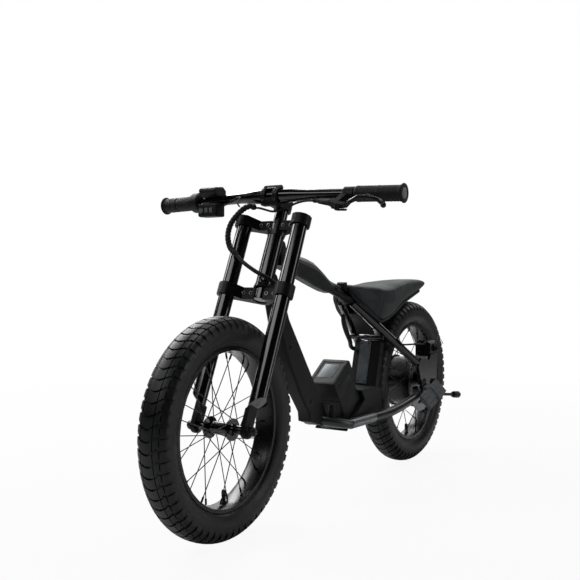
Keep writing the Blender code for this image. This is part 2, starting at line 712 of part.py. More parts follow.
# stem: a steerer clamp and a bar clamp with a bolted front plate
bar_middle = fork(BAR_RISE, BAR_AHEAD, 0)
bar_bore = BAR_CENTRE_RADIUS + GAP
clamp_radius = bar_bore + STEM_WALL
barrel_radius = STEERER_RADIUS + STEM_WALL
bm = bmesh.new()
back_arc = arc(BAR_AHEAD, 0, clamp_radius, 90, 270, 8)
outline = [(BAR_AHEAD - 0.0008, clamp_radius)] + back_arc[1:-1] + [(BAR_AHEAD - 0.0008, -clamp_radius)]
prism(bm, outline, fork(BAR_RISE, 0, -STEM_HALF_WIDTH), out_head, up_head, side * STEM_HALF_WIDTH * 2)
item = solid("stem", bm, "satin_black", steer_root, fork(BAR_RISE, 0, 0))
neck = bmesh.new()
neck_ring = []
for out, half, tall in ((0.004, barrel_radius * 0.85, STEM_CLAMP_HEIGHT * 0.46),
                        (BAR_AHEAD - 0.010, STEM_HALF_WIDTH * 0.84, clamp_radius * 0.78)):
    neck_ring.append([fork(BAR_RISE + v, out, u) for u, v in
                      ((half, tall * 0.6), (half * 0.7, tall), (-half * 0.7, tall), (-half, tall * 0.6),
                       (-half, -tall * 0.6), (-half * 0.7, -tall), (half * 0.7, -tall),
                       (half, -tall * 0.6))])
loft(neck, neck_ring)
combine(item, guide("stem_neck", neck), "UNION")
barrel = bmesh.new()
start = BAR_RISE - STEM_CLAMP_HEIGHT / 2
turned(barrel, [(start, 0), (start, barrel_radius), (start + STEM_CLAMP_HEIGHT, barrel_radius),
                (start + STEM_CLAMP_HEIGHT, 0)], fork(0, 0, 0), up_head, 16)
combine(item, guide("stem_barrel", barrel), "UNION")
holes = bmesh.new()
turned(holes, [(-0.03, 0), (-0.03, bar_bore), (0.03, bar_bore), (0.03, 0)], bar_middle, side, 16)
combine(item, guide("stem_bar_hole", holes), "DIFFERENCE")
hole = bmesh.new()
turned(hole, [(start - 0.003, 0), (start - 0.003, STEERER_RADIUS + GAP),
              (start + STEM_CLAMP_HEIGHT + 0.003, STEERER_RADIUS + GAP),
              (start + STEM_CLAMP_HEIGHT + 0.003, 0)],
       fork(0, 0, 0), up_head, 16)
combine(item, guide("stem_steerer_hole", hole), "DIFFERENCE")

bm = bmesh.new()
lug = clamp_radius + 0.0022
outline = arc(BAR_AHEAD, 0, clamp_radius - 0.0010, -60, 60, 6)
outline += [(BAR_AHEAD + 0.0085, lug), (BAR_AHEAD + 0.0008, lug)]
outline += arc(BAR_AHEAD, 0, bar_bore + 0.0002, 87, -87, 8)
outline += [(BAR_AHEAD + 0.0008, -lug), (BAR_AHEAD + 0.0085, -lug)]
prism(bm, outline, fork(BAR_RISE, 0, 0) - side * STEM_HALF_WIDTH, out_head, up_head,
      side * STEM_HALF_WIDTH * 2)
item = solid("stem_faceplate", bm, "satin_black", steer_root, bar_middle)
window = bmesh.new()
block(window, fork(BAR_RISE, BAR_AHEAD + clamp_radius, 0),
      (0.03, STEM_HALF_WIDTH * 0.9, clamp_radius), (out_head, side, up_head))
combine(item, guide("faceplate_window", window), "DIFFERENCE")

# handlebar
bar_flat = STEM_HALF_WIDTH + 0.010
bar_bend = bar_flat + 0.085


def bar_centre(y):
    far = abs(y)
    if far <= bar_flat:
        share = 0.0
    elif far < bar_bend:
        share = (far - bar_flat) ** 2 / (2 * (bar_bend - bar_flat))
    else:
        share = far - (bar_flat + bar_bend) / 2
    return Vector((bar_middle.x - BAR_SWEEP * share, y, bar_middle.z - BAR_DROP * share))


def bar_direction(hand):
    return Vector((-BAR_SWEEP, hand, -BAR_DROP)).normalized()


bar_stretch = math.sqrt(1 + BAR_SWEEP ** 2 + BAR_DROP ** 2)
bar_end = BAR_HALF_LENGTH - GRIP_CAP - 0.0060
stations = [0, 0.5 * bar_flat, bar_flat, bar_flat + 0.018, bar_flat + 0.036, bar_flat + 0.054, bar_bend]
stations += [bar_end]
widths = [BAR_CENTRE_RADIUS, BAR_CENTRE_RADIUS, BAR_CENTRE_RADIUS]
widths += [BAR_CENTRE_RADIUS + (BAR_RADIUS - BAR_CENTRE_RADIUS) * s for s in (0.25, 0.7, 0.97, 1.0, 1.0)]
bm = bmesh.new()
points = [bar_centre(-y) for y in reversed(stations[1:])] + [bar_centre(y) for y in stations]
radii = list(reversed(widths[1:])) + widths
tube(bm, points, radii, 12)
solid("handlebar", bm, "gloss_black", steer_root, bar_middle)

bar_bore_end = BAR_RADIUS + GAP


def on_bar(y, hand):
    return bar_centre(y), bar_direction(hand)


def bar_cutter(name, y_from, y_to, radius=None):
    hand = 1 if y_to > 0 else -1
    place, direction = on_bar(y_from, hand)
    length = abs(y_to - y_from) * bar_stretch
    wide = radius or bar_bore_end
    cutter = bmesh.new()
    turned(cutter, [(0, 0), (0, wide), (length, wide), (length, 0)], place, direction, 16)
    return guide(name, cutter)


def grip(name, y_from, hand, kind):
    place, direction = on_bar(hand * y_from, hand)
    inside = (BAR_HALF_LENGTH - GRIP_CAP - 0.0030 - y_from) * bar_stretch
    length = (BAR_HALF_LENGTH - y_from) * bar_stretch
    flange = length - GRIP_CAP
    profile = [(length, 0), (length, GRIP_FLANGE_RADIUS - 0.0020), (length - 0.0010, GRIP_FLANGE_RADIUS),
               (flange, GRIP_FLANGE_RADIUS), (flange - 0.0010, GRIP_RADIUS)]
    ribs = 2
    for k in range(ribs):
        start = flange - 0.0060 - k * (flange - 0.0120) / ribs
        profile += [(start, GRIP_RADIUS), (start - 0.0015, GRIP_RADIUS - 0.0008)]
        profile += [(start - (flange - 0.0120) / ribs + 0.0020, GRIP_RADIUS - 0.0008)]
    profile += [(0.0030, GRIP_RADIUS), (0, GRIP_RADIUS - 0.0010), (0, bar_bore_end), (inside, bar_bore_end),
                (inside, 0)]
    bm = bmesh.new()
    turned(bm, profile, place, direction, 14)
    return solid(name, bm, kind, steer_root, place)


grip_start = BAR_HALF_LENGTH - GRIP_LENGTH
grip("grip_left", grip_start, 1, "soft_rubber")
ring_end = BAR_HALF_LENGTH - GRIP_LENGTH + 0.0173
sleeve_start = ring_end + RUNNING
sleeve_end = sleeve_start + THROTTLE_LENGTH
grip("grip_right", sleeve_end + RUNNING, -1, "soft_rubber")

# twist throttle: a sleeve that turns on the bar, and its housing
place, direction = on_bar(-sleeve_start, -1)
throttle_root = pivot("throttle_axis", place, steer_root)
length = THROTTLE_LENGTH * bar_stretch
profile = [(0, bar_bore_end), (0, GRIP_RADIUS + 0.0020), (0.0030, GRIP_RADIUS + 0.0020),
           (0.0045, GRIP_RADIUS)]
for k in range(3):
    start = 0.0080 + k * (length - 0.0140) / 3
    profile += [(start, GRIP_RADIUS + 0.0003), (start + 0.0040, GRIP_RADIUS + 0.0003),
                (start + 0.0050, GRIP_RADIUS - 0.0006)]
profile += [(length, GRIP_RADIUS - 0.0006), (length, bar_bore_end)]
bm = bmesh.new()
turned(bm, profile, place, direction, 14)
solid("throttle_sleeve", bm, "soft_rubber", throttle_root, place)

housing_from = ring_end - THROTTLE_RING_LENGTH
place, direction = on_bar(-housing_from, -1)
length = THROTTLE_RING_LENGTH * bar_stretch
bm = bmesh.new()
turned(bm, [(0, bar_bore_end), (0, THROTTLE_RING_RADIUS - 0.0035), (0.0030, THROTTLE_RING_RADIUS),
            (length - 0.0025, THROTTLE_RING_RADIUS),
            (length, THROTTLE_RING_RADIUS - 0.0030), (length, bar_bore_end)], place, direction, 16)
solid("throttle_housing", bm, "plastic", steer_root, place)

# display on top of the bar and switch box under it, both beside the throttle
display_y = -(housing_from - DISPLAY_HALF - 0.0110)
place = bar_centre(display_y)
bm = bmesh.new()
outline = [(-0.0150, 0.0070), (0.0170, 0.0070), (0.0265, 0.0150), (0.0285, 0.0240), (0.0230, 0.0285),
           (-0.0050, 0.0310), (-0.0150, 0.0230)]
prism(bm, outline, place - side * DISPLAY_HALF, Vector((1, 0, 0)), Vector((0, 0, 1)), side * DISPLAY_HALF * 2)
soften(bm, 0.0025)
item = solid("display", bm, "plastic", steer_root, place)
combine(item, bar_cutter("display_saddle", display_y + 0.05, display_y - 0.05), "DIFFERENCE")

box_centre = place + Vector((0.0215, 0.0080, -0.0220))
bm = bmesh.new()
block(bm, box_centre, (0.0340, SWITCH_HALF * 2, 0.0290))
soften(bm, 0.0040, segments=2)
item = solid("switch_box", bm, "plastic", steer_root, box_centre)
combine(item, bar_cutter("switch_saddle", display_y + 0.05, display_y - 0.05), "DIFFERENCE")
button_place = box_centre + Vector((0.0170, 0.0100 - SWITCH_HALF, -0.0010))
well = bmesh.new()
forward = Vector((1, 0, 0))
turned(well, [(-0.0035, 0), (-0.0035, 0.0066), (0.0030, 0.0066), (0.0030, 0)], button_place, forward, 16)
combine(item, guide("button_well", well), "DIFFERENCE")
bm = bmesh.new()
turned(bm, [(-0.0012, 0), (-0.0012, 0.0060), (0.0016, 0.0060), (0.0022, 0.0052), (0.0022, 0)],
       button_place, forward, 16)
button_root = pivot("button_axis", button_place, steer_root)
solid("power_button", bm, "grey_plastic", button_root, button_place)

# brake lever: perch clamped to the bar, and a blade on an upright pin
perch_y = grip_start - 0.0140
perch = bar_centre(perch_y)
lever_pin = perch + Vector((0.0340, -0.0010, -0.0275))
bm = bmesh.new()
body_path = [lever_pin + Vector((0.0010, 0.0100, 0.0000)), lever_pin + Vector((0.0010, -0.0080, 0.0020)),
             lever_pin + Vector((-0.0040, -0.0270, 0.0100)), lever_pin + Vector((-0.0110, -0.0570, 0.0145)),
             lever_pin + Vector((-0.0118, -0.0600, 0.0148)), lever_pin + Vector((-0.0142, -0.0720, 0.0157))]
tube(bm, body_path, [0.0090, 0.0105, 0.0080, 0.0060, 0.0042, 0.0042], 8)
item = solid("brake_lever_body", bm, "satin_black", steer_root, perch)
collar = bmesh.new()
place, direction = on_bar(perch_y - 0.0110, 1)
turned(collar, [(0, 0), (0, 0.0150), (0.0220, 0.0150), (0.0220, 0)], place, direction, 14)
combine(item, guide("lever_collar", collar), "UNION")
bridge = bmesh.new()
loft(bridge, [[perch + Vector((0.004, y, z)) for y, z in ((0.009, 0.010), (-0.009, 0.010),
                                                         (-0.009, -0.010), (0.009, -0.010))],
              [lever_pin + Vector((0.000, y, z)) for y, z in ((-0.0100, 0.0110), (-0.0240, 0.0110),
                                                            (-0.0240, -0.0030), (-0.0100, -0.0030))]])
combine(item, guide("lever_bridge", bridge), "UNION")
combine(item, bar_cutter("lever_bar_hole", perch_y - 0.05, perch_y + 0.05), "DIFFERENCE")
slot = bmesh.new()
block(slot, lever_pin + Vector((0, 0.0080, 0)), (0.0400, 0.0340, 0.0084))
combine(item, guide("lever_slot", slot), "DIFFERENCE")
lever_root = pivot("lever_axis", lever_pin, steer_root)
bm = bmesh.new()
blade = [(0.0000, -0.0030, 0.0000, 0.0060, 0.0036), (0.0040, 0.0110, 0.0005, 0.0060, 0.0036),
         (0.0130, 0.0260, 0.0090, 0.0050, 0.0046), (0.0200, 0.0470, 0.0150, 0.0034, 0.0056),
         (0.0222, 0.0700, 0.0152, 0.0030, 0.0054), (0.0222, 0.0890, 0.0085, 0.0034, 0.0046),
         (0.0220, 0.0950, 0.0050, 0.0060, 0.0062), (0.0215, 0.1020, 0.0000, 0.0068, 0.0070),
         (0.0212, 0.1060, -0.0025, 0.0038, 0.0040)]
rings = []
for index, (x, y, z, wide, tall) in enumerate(blade):
    before = Vector(blade[max(index - 1, 0)][:3])
    after = Vector(blade[min(index + 1, len(blade) - 1)][:3])
    along = (after - before).normalized()
    across = along.cross(Vector((0, 0, 1))).normalized()
    middle = lever_pin + Vector((x, y, z))
    rings.append([middle + across * (wide * math.cos(TAU * (k + 0.5) / 8))
                  + Vector((0, 0, tall * math.sin(TAU * (k + 0.5) / 8))) for k in range(8)])
loft(bm, rings)
solid("brake_lever", bm, "anodised", lever_root, lever_pin)


# frame: main beam, tank pad, rails, bridge, down tube, lower tubes and dropouts

apex = rear(APEX_AHEAD, 0, APEX_UP)
beam_tail = rear(BEAM_TAIL_AHEAD, 0, BEAM_TAIL_UP)
beam_head = fork(HEAD_TUBE_END - 0.0190, -0.0060, 0)


def rail_point(hand, share):
    start = Vector((apex.x, hand * RAIL_APEX_Y, apex.z))
    end = rear(RAIL_END_AHEAD, hand * RAIL_END_Y, RAIL_END_UP)
    return start.lerp(end, share)


def rail_at(x):
    share = (apex.x - x) / (APEX_AHEAD - RAIL_END_AHEAD)
    return rail_point(1, share)


rail_slope = math.hypot(APEX_AHEAD - RAIL_END_AHEAD, APEX_UP - RAIL_END_UP) / (APEX_AHEAD - RAIL_END_AHEAD)
backbone_slope = (BACKBONE_FRONT_UP - BACKBONE_REAR_UP) / (BACKBONE_FRONT_AHEAD - BACKBONE_REAR_AHEAD)


def backbone(x):
    front = rear(BACKBONE_FRONT_AHEAD, 0, BACKBONE_FRONT_UP)
    return Vector((x, 0, front.z + (x - front.x) * backbone_slope))


def rail_top(x):
    if x > apex.x:
        return backbone(x).z + BACKBONE_RADIUS * math.hypot(1, backbone_slope)
    return rail_at(x).z + RAIL_RADIUS * rail_slope


rail_fall = Vector((RAIL_END_AHEAD - APEX_AHEAD, 0, RAIL_END_UP - APEX_UP)).normalized()
for hand, name in ((1, "left"), (-1, "right")):
    bm = bmesh.new()
    tube(bm, [rail_point(hand, -0.10), rail_point(hand, 1)], RAIL_RADIUS, 12)
    slice_off(bm, apex + rail_fall * GAP, -rail_fall)
    solid("rail_" + name, bm, "gloss_black", frame_root, apex)

# beam and pad share one table: share of the way to the head tube, then the pad's top, the beam's
# top and the beam's bottom as heights above the line from the tail to the head tube, and the
# pad's half width
BEAM_TABLE = [(-0.16, 0.0343, 0.0300, 0.0057, 0.0160),
              (0.00, 0.0298, 0.0200, -0.0040, 0.0250),
              (0.18, 0.0316, 0.0120, -0.0109, 0.0300),
              (0.30, 0.0334, 0.0070, -0.0152, 0.0305),
              (0.45, 0.0271, 0.0010, -0.0203, 0.0305),
              (0.66, 0.0153, -0.0060, -0.0275, 0.0290),
              (0.80, 0.0100, -0.0100, -0.0323, 0.0265)]
PAD_LOW_HALF = BEAM_HALF_WIDTH + 0.0028
PAD_TAIL = [(0.3860, 0.0048), (0.4080, 0.0040)]


def beam_ring(share):
    return beam_tail.lerp(beam_head, share)


rings = []
for share, top, core, bottom, wide in BEAM_TABLE:
    centre = beam_ring(share)
    half = [(BEAM_HALF_WIDTH - 0.0015, core), (BEAM_HALF_WIDTH, core - 0.0015),
            (BEAM_HALF_WIDTH, bottom + 0.0015), (BEAM_HALF_WIDTH - 0.0015, bottom)]
    rings.append([centre + Vector((0, y, z)) for y, z in half + [(-y, z) for y, z in reversed(half)]])
for share, low in ((0.92, -0.0360), (1.0, -0.0390)):
    centre = beam_ring(share)
    half = [(0.0145, 0.0185), (0.0160, 0.0165), (0.0160, low + 0.0015), (0.0145, low)]
    rings.append([centre + Vector((0, y, z)) for y, z in half + [(-y, z) for y, z in reversed(half)]])
bm = bmesh.new()
loft(bm, rings)
beam = solid("main_beam", bm, "satin_black", frame_root, beam_tail)

# backbone: a round tube behind the beam that widens into a yoke for the two rails
rings = []
for x, dip, wide, tall in ((0.4380, 0, BACKBONE_RADIUS, BACKBONE_RADIUS), (0.3700, 0, BACKBONE_RADIUS, BACKBONE_RADIUS),
                           (0.3520, -0.0035, 0.0145, 0.0112),
                           (0.3400, -0.0068, RAIL_APEX_Y + RAIL_RADIUS - 0.0030, 0.0118),
                           (0.3220, -0.0172, RAIL_APEX_Y + RAIL_RADIUS, 0.0125)):
    centre = backbone(rear_axle_place.x + x) + Vector((0, 0, dip))
    rings.append([centre + Vector((0, wide * math.cos(TAU * (k + 0.5) / 12), tall * math.sin(TAU * (k + 0.5) / 12)))
                  for k in range(12)])
bm = bmesh.new()
loft(bm, rings)
slice_off(bm, apex, rail_fall)
combine(beam, guide("backbone", bm), "UNION")
head_hole = bmesh.new()
turned(head_hole, [(0, 0), (0, HEAD_TUBE_RADIUS + GAP),
                   (STEERER_TOP, HEAD_TUBE_RADIUS + GAP), (STEERER_TOP, 0)],
       fork(0, 0, 0), up_head, 20)
head_cutter = guide("head_tube_saddle", head_hole)
combine(beam, head_cutter, "DIFFERENCE")

rings = []
for ahead, thick in PAD_TAIL:
    x = rear_axle_place.x + ahead
    roof = rail_top(x) + RUNNING
    low = backbone(x).z + 0.0060
    inner = BEAM_HALF_WIDTH + GAP
    half = [(inner + 0.0015, low), (inner + 0.0020, roof - 0.0010), (inner, roof + thick * 0.6),
            (inner * 0.6, roof + thick)]
    inside = [(-inner, low), (-inner, roof), (inner, roof), (inner, low)]
    rings.append([Vector((x, y, z)) for y, z in half + [(-y, z) for y, z in reversed(half)] + inside])
for share, top, core, bottom, wide in BEAM_TABLE:
    centre = beam_ring(share)
    low = bottom + 0.0015
    middle = bottom + (top - bottom) * 0.55
    inner = BEAM_HALF_WIDTH + GAP
    half = [(PAD_LOW_HALF, low), (wide, middle), (wide * 0.86, top - (top - middle) * 0.50),
            (wide * 0.45, top)]
    inside = [(-inner, low), (-inner, core + RUNNING), (inner, core + RUNNING), (inner, low)]
    rings.append([centre + Vector((0, y, z)) for y, z in half + [(-y, z) for y, z in reversed(half)] + inside])
bm = bmesh.new()
loft(bm, rings)
solid("tank_pad", bm, "plastic", frame_root, beam_tail, crease=40)

# down tube: a flat-sided box section that narrows into the head tube
TUBE_TABLE = [(0.0080, -0.0087, 0.0400, -0.0065, 0.94), (0.0000, 0.0000, 0.0890, 0.0090, 1.0),
              (0.0250, 0.0370, 0.0920, 0.0300, 1.0), (0.0590, 0.0861, 0.1275, 0.0741, 1.0),
              (0.1299, 0.1875, 0.1750, 0.1517, 1.0), (0.1710, 0.2453, 0.2040, 0.2165, 1.0),
              (0.1930, 0.2980, 0.2220, 0.2780, 0.98)]
rings = []


def tube_ring(back, front, half):
    along = (front - back).normalized()
    soft = 0.0045
    near, far = back + along * soft, front - along * soft
    trim = half - soft
    return [near + side * half, far + side * half, front + side * trim, front - side * trim,
            far - side * half, near - side * half, back - side * trim, back + side * trim]


for back_x, back_z, front_x, front_z, share in TUBE_TABLE:
    rings.append(tube_ring(foot(back_x, 0, back_z), foot(front_x, 0, front_z), TUBE_HALF_WIDTH * share))
rings.append(tube_ring(fork(HEAD_TUBE_START + 0.0330, -0.0150, 0),
                       fork(HEAD_TUBE_START + 0.0020, -0.0200, 0), 0.0160))
rings.append(tube_ring(fork(HEAD_TUBE_START + 0.0310, -0.0040, 0),
                       fork(HEAD_TUBE_START + 0.0020, -0.0040, 0), 0.0160))
bm = bmesh.new()
loft(bm, rings)
item = solid("down_tube", bm, "satin_black", frame_root, foot(0, 0, 0))
combine(item, head_cutter, "DIFFERENCE")

# lower tubes from the down tube's foot out to the dropouts
CHAINSTAY_ROUTE = [(0.0480, -0.0100, 0.0040), (0.0260, 0.0173, 0.0030), (0.0060, 0.0400, -0.0030),
                   (-0.0180, 0.0530, -0.0085), (-0.0766, 0.0556, -0.0110), (-0.1450, 0.0560, -0.0110)]
CHAINSTAY_REAR = [(0.2750, 0.0610, -0.0525), (0.2250, 0.0690, -0.0480), (0.1643, 0.0715, -0.0402)]
stay_end = {}
for hand, name in ((1, "left"), (-1, "right")):
    route = [foot(x, hand * y, z) for x, y, z in CHAINSTAY_ROUTE]
    route += [rear(x, hand * y, z) for x, y, z in CHAINSTAY_REAR]
    end = rear(0.0720, hand * CHAINSTAY_END_Y, -0.0245)
    bm = bmesh.new()
    path = smooth_route(route + [end], 0.033)
    tube(bm, path, CHAINSTAY_RADIUS, 10)
    slice_off(bm, Vector((0, hand * (TUBE_HALF_WIDTH + GAP), 0)), -side * hand)
    solid("cradle_" + name, bm, "satin_black", frame_root, end)
    stay_end[hand] = (end, (end - path[-2]).normalized())

# dropout plates
for hand, name in ((1, "left"), (-1, "right")):
    inner = DROPOUT_INNER_Y
    end, heading = stay_end[hand]
    flat = Vector((heading.x, 0, heading.z)).normalized()
    across = Vector((-flat.z, 0, flat.x))
    edge = end + flat * GAP * 2 - rear_axle_place
    top = rail_point(hand, 1) - rear_axle_place
    fall = (rail_point(hand, 1) - rail_point(hand, 0)).normalized()
    rail_flat = Vector((fall.x, 0, fall.z)).normalized()
    rail_across = Vector((-rail_flat.z, 0, rail_flat.x))
    start = top + rail_flat * (-0.0040)
    corners = [start - rail_across * 0.0120, start + rail_across * 0.0120]
    corners += [edge - across * 0.0115, edge + across * 0.0115]
    outline = [(c.x, c.z) for c in corners] + [(0.0300, -0.0440), (0.0140, -0.0330)]
    outline += arc(0, 0, 0.0190, -60, -200, 6)
    if hand == 1:
        outline += [(-0.0240, 0.0560), (-0.0240, 0.0780), (0.0200, 0.0780), (0.0300, 0.0640)]
    else:
        outline += [(-0.0040, 0.0300), (0.0300, 0.0560)]
    bm = bmesh.new()
    prism(bm, outline, rear_axle_place + side * hand * inner, Vector((1, 0, 0)), Vector((0, 0, 1)),
          side * hand * DROPOUT_THICKNESS)
    slice_off(bm, rail_point(hand, 1) + fall * GAP, -fall)
    item = solid("dropout_" + name, bm, "satin_black", frame_root, rear_axle_place)
    hole = bmesh.new()
    turned(hole, [(0, 0), (0, bore), (0.012, bore), (0.012, 0)],
           rear_axle_place + side * hand * (inner - 0.002), side * hand, 16)
    combine(item, guide("axle_hole_" + name, hole), "DIFFERENCE")

# controller hung under the cross tube, with its cover plate
case_origin = rear_axle_place + case_corner
half = CONTROLLER_HALF_WIDTH
face = CONTROLLER_FACE_HALF
bm = bmesh.new()
outline = [(-CONTROLLER_DEPTH, -half), (-CONTROLLER_BEVEL, -half), (0, -face), (0, face),
           (-CONTROLLER_BEVEL, half), (-CONTROLLER_DEPTH, half)]
outline = [(u - COVER_THICKNESS - GAP if u > -CONTROLLER_BEVEL else u, v) for u, v in outline]
prism(bm, outline, case_origin, case_out, side, case_up * CONTROLLER_LENGTH)
case = solid("controller_case", bm, "satin_black", frame_root, case_origin)
fins = bmesh.new()
for k in range(6):
    block(fins, case_origin + case_up * (0.020 + 0.0152 * k) - case_out * (CONTROLLER_DEPTH + 0.0010),
          (0.0080, half * 1.5, 0.0060), (case_out, side, case_up))
combine(case, guide("controller_grooves", fins), "DIFFERENCE")
bm = bmesh.new()
outline = [(-COVER_THICKNESS, -face * 0.94), (-COVER_THICKNESS, face * 0.94),
           (0, face * 0.88), (0, -face * 0.88)]
prism(bm, outline, case_origin + case_up * 0.004, case_out, side, case_up * (CONTROLLER_LENGTH - 0.008))
solid("controller_cover", bm, "brushed_cover", frame_root, case_origin)

# cross tube under the rails, with a boss in the middle
bridge_centre = case_origin + case_up * (CONTROLLER_LENGTH + BRIDGE_RADIUS + GAP) - case_out * 0.0010
bridge_half = rail_at(bridge_centre.x).y + 0.0070
bm = bmesh.new()
turned(bm, [(-bridge_half, 0), (-bridge_half, BRIDGE_RADIUS), (-0.0075, BRIDGE_RADIUS),
            (-0.0060, BRIDGE_RADIUS + 0.0015), (0.0060, BRIDGE_RADIUS + 0.0015), (0.0075, BRIDGE_RADIUS),
            (bridge_half, BRIDGE_RADIUS), (bridge_half, 0)], bridge_centre, side, 14)
bridge = solid("rail_bridge", bm, "satin_black", frame_root, bridge_centre)
case_notch = bmesh.new()
block(case_notch, bridge_centre + case_out * 0.003, (0.0500, 0.0180, (BRIDGE_RADIUS + 0.0022) * 2),
      (case_out, side, case_up))
combine(case, guide("boss_notch", case_notch), "DIFFERENCE")
for hand, name in ((1, "left"), (-1, "right")):
    fat = bmesh.new()
    tube(fat, [rail_point(hand, 0.2), rail_point(hand, 0.8)], RAIL_RADIUS + GAP * 1.5, 12)
    combine(bridge, guide("rail_seat_" + name, fat), "DIFFERENCE")

# splash guard between the rails, bent down to the cross tube
rings = []
for x, drop in ((apex.x - 0.0350, 0.0050), (apex.x - 0.0700, 0.0050), (bridge_centre.x + 0.0150, 0.0060)):
    rail = rail_at(x)
    wide = rail.y - RAIL_RADIUS * 1.03 - 2 * GAP
    z = rail.z - drop
    rings.append([Vector((x, wide, z)), Vector((x, -wide, z)), Vector((x, -wide, z - 0.0022)),
                  Vector((x, wide, z - 0.0022))])
low = bridge_centre + Vector((0.0005, 0, BRIDGE_RADIUS + 0.0018 + GAP))
rings.append([low + Vector((0, wide, 0.0002)), low + Vector((0, -wide, 0.0002)),
              low + Vector((0.0024, -wide, -0.0001)), low + Vector((0.0024, wide, -0.0001))])
bm = bmesh.new()
loft(bm, rings)
solid("splash_guard", bm, "plastic", frame_root, low)

# battery: a wider cap over a narrower case, sliding out along the down tube
pack_rear_place = rear_axle_place + pack_rear
cap_start = BATTERY_LENGTH - BATTERY_CAP_LENGTH
battery_root = pivot("battery_slide", pack_rear_place, frame_root)
bm = bmesh.new()
block(bm, pack_rear_place + pack_out * BATTERY_DEPTH / 2 + pack_up * (cap_start + BATTERY_CAP_LENGTH / 2),
      (BATTERY_DEPTH, BATTERY_HALF_WIDTH * 2, BATTERY_CAP_LENGTH), (pack_out, side, pack_up))
soften(bm, 0.0050, segments=2)
item = solid("battery_cap", bm, "plastic", battery_root, pack_rear_place)
recess = bmesh.new()
block(recess, pack_rear_place + pack_out * BATTERY_DEPTH / 2 + pack_up * (BATTERY_LENGTH + 0.0030),
      (BATTERY_DEPTH - 0.0240, BATTERY_HALF_WIDTH * 2 - 0.0200, 0.0080), (pack_out, side, pack_up))
combine(item, guide("cap_recess", recess), "DIFFERENCE")
bm = bmesh.new()
block(bm, pack_rear_place + pack_out * BATTERY_DEPTH / 2 + pack_up * (cap_start - GAP) / 2,
      (BATTERY_DEPTH - BATTERY_STEP * 2, (BATTERY_HALF_WIDTH - BATTERY_STEP) * 2, cap_start - GAP),
      (pack_out, side, pack_up))
soften(bm, 0.0040, segments=2)
solid("battery_case", bm, "plastic", battery_root, pack_rear_place)

# dock that follows the battery's rear and lower faces, with the skid plate under it
dock_floor = pack_front.z - DOCK_UNDER
seat_gap = GAP * 1.5
rear_face = pack_rear + pack_out * (BATTERY_STEP - seat_gap)
lower_rear = rear_face - pack_up * seat_gap
lower_front = pack_front - pack_up * seat_gap - pack_out * BATTERY_STEP
shelf_front = case_corner - case_up * seat_gap + case_out * 0.0020
shelf_rear = shelf_front - case_out * (CONTROLLER_DEPTH + 0.0060)
wall_top = rear_face + pack_up * 0.0290
outline = [shelf_rear, shelf_front, Vector((wall_top.x - 0.0120, 0, wall_top.z)), wall_top,
           lower_rear, lower_front,
           lower_front + pack_out * 0.0260, lower_front + pack_out * 0.0260 - pack_up * 0.0040,
           Vector((pack_front.x + 0.0040, 0, dock_floor)), Vector((shelf_rear.x + 0.0300, 0, dock_floor)),
           Vector((shelf_rear.x + 0.0020, 0, dock_floor + 0.0120))]
bm = bmesh.new()
base = [rear_axle_place + p - side * DOCK_HALF_WIDTH for p in outline]
loft(bm, [base, [p + side * DOCK_HALF_WIDTH * 2 for p in base]])
soften(bm, 0.0016, angle=75)
dock = solid("battery_dock", bm, "plastic", frame_root, rear_axle_place + lower_rear)
boot = bmesh.new()
boot_start = rear_axle_place + lower_front + pack_out * 0.0160 + side * 0.0200 - pack_up * 0.0030
profile = [(0, 0)]
for k in range(4):
    profile += [(0.0002 + 0.0065 * k, 0.0082), (0.0036 + 0.0065 * k, 0.0082), (0.0046 + 0.0065 * k, 0.0064)]
profile += [(0.0300, 0.0060), (0.0300, 0)]
turned(boot, profile, boot_start, pack_up, 10)
combine(dock, guide("dock_boot", boot), "UNION")

# seat: one table for the cushion and the pan under it
SEAT_TABLE = [(0.3502, 0.2705, 0.0180, 0.2695, 0.0200, 0.2630, 0.0200, 0.2558),
              (0.3322, 0.2685, 0.0330, 0.2662, 0.0400, 0.2470, 0.0390, 0.2308),
              (0.3065, 0.2662, 0.0470, 0.2630, 0.0535, 0.2400, 0.0470, 0.2128),
              (0.2771, 0.2650, 0.0720, 0.2585, 0.0700, 0.2290, 0.0510, 0.1943),
              (0.2532, 0.2658, 0.0750, 0.2570, 0.0715, 0.2230, 0.0550, 0.1808),
              (0.2107, 0.2680, 0.0730, 0.2600, 0.0680, 0.2290, 0.0560, 0.1878),
              (0.1536, 0.2735, 0.0640, 0.2675, 0.0590, 0.2420, 0.0500, 0.2028),
              (0.0862, 0.2768, 0.0530, 0.2720, 0.0490, 0.2520, 0.0400, 0.2224),
              (0.0322, 0.2780, 0.0460, 0.2740, 0.0420, 0.2580, 0.0340, 0.2338),
              (-0.0458, 0.2772, 0.0360, 0.2735, 0.0330, 0.2630, 0.0260, 0.2498),
              (-0.0800, 0.2740, 0.0270, 0.2705, 0.0250, 0.2650, 0.0200, 0.2578),
              (-0.0973, 0.2672, 0.0180, 0.2655, 0.0175, 0.2640, 0.0160, 0.2622)]


def pan_levels(ahead, low):
    world = rear_axle_place.x + ahead
    under = max(rail_top(world) - TYRE_RADIUS + GAP, low - PAN_BAND)
    return under, under + PAN_THICKNESS


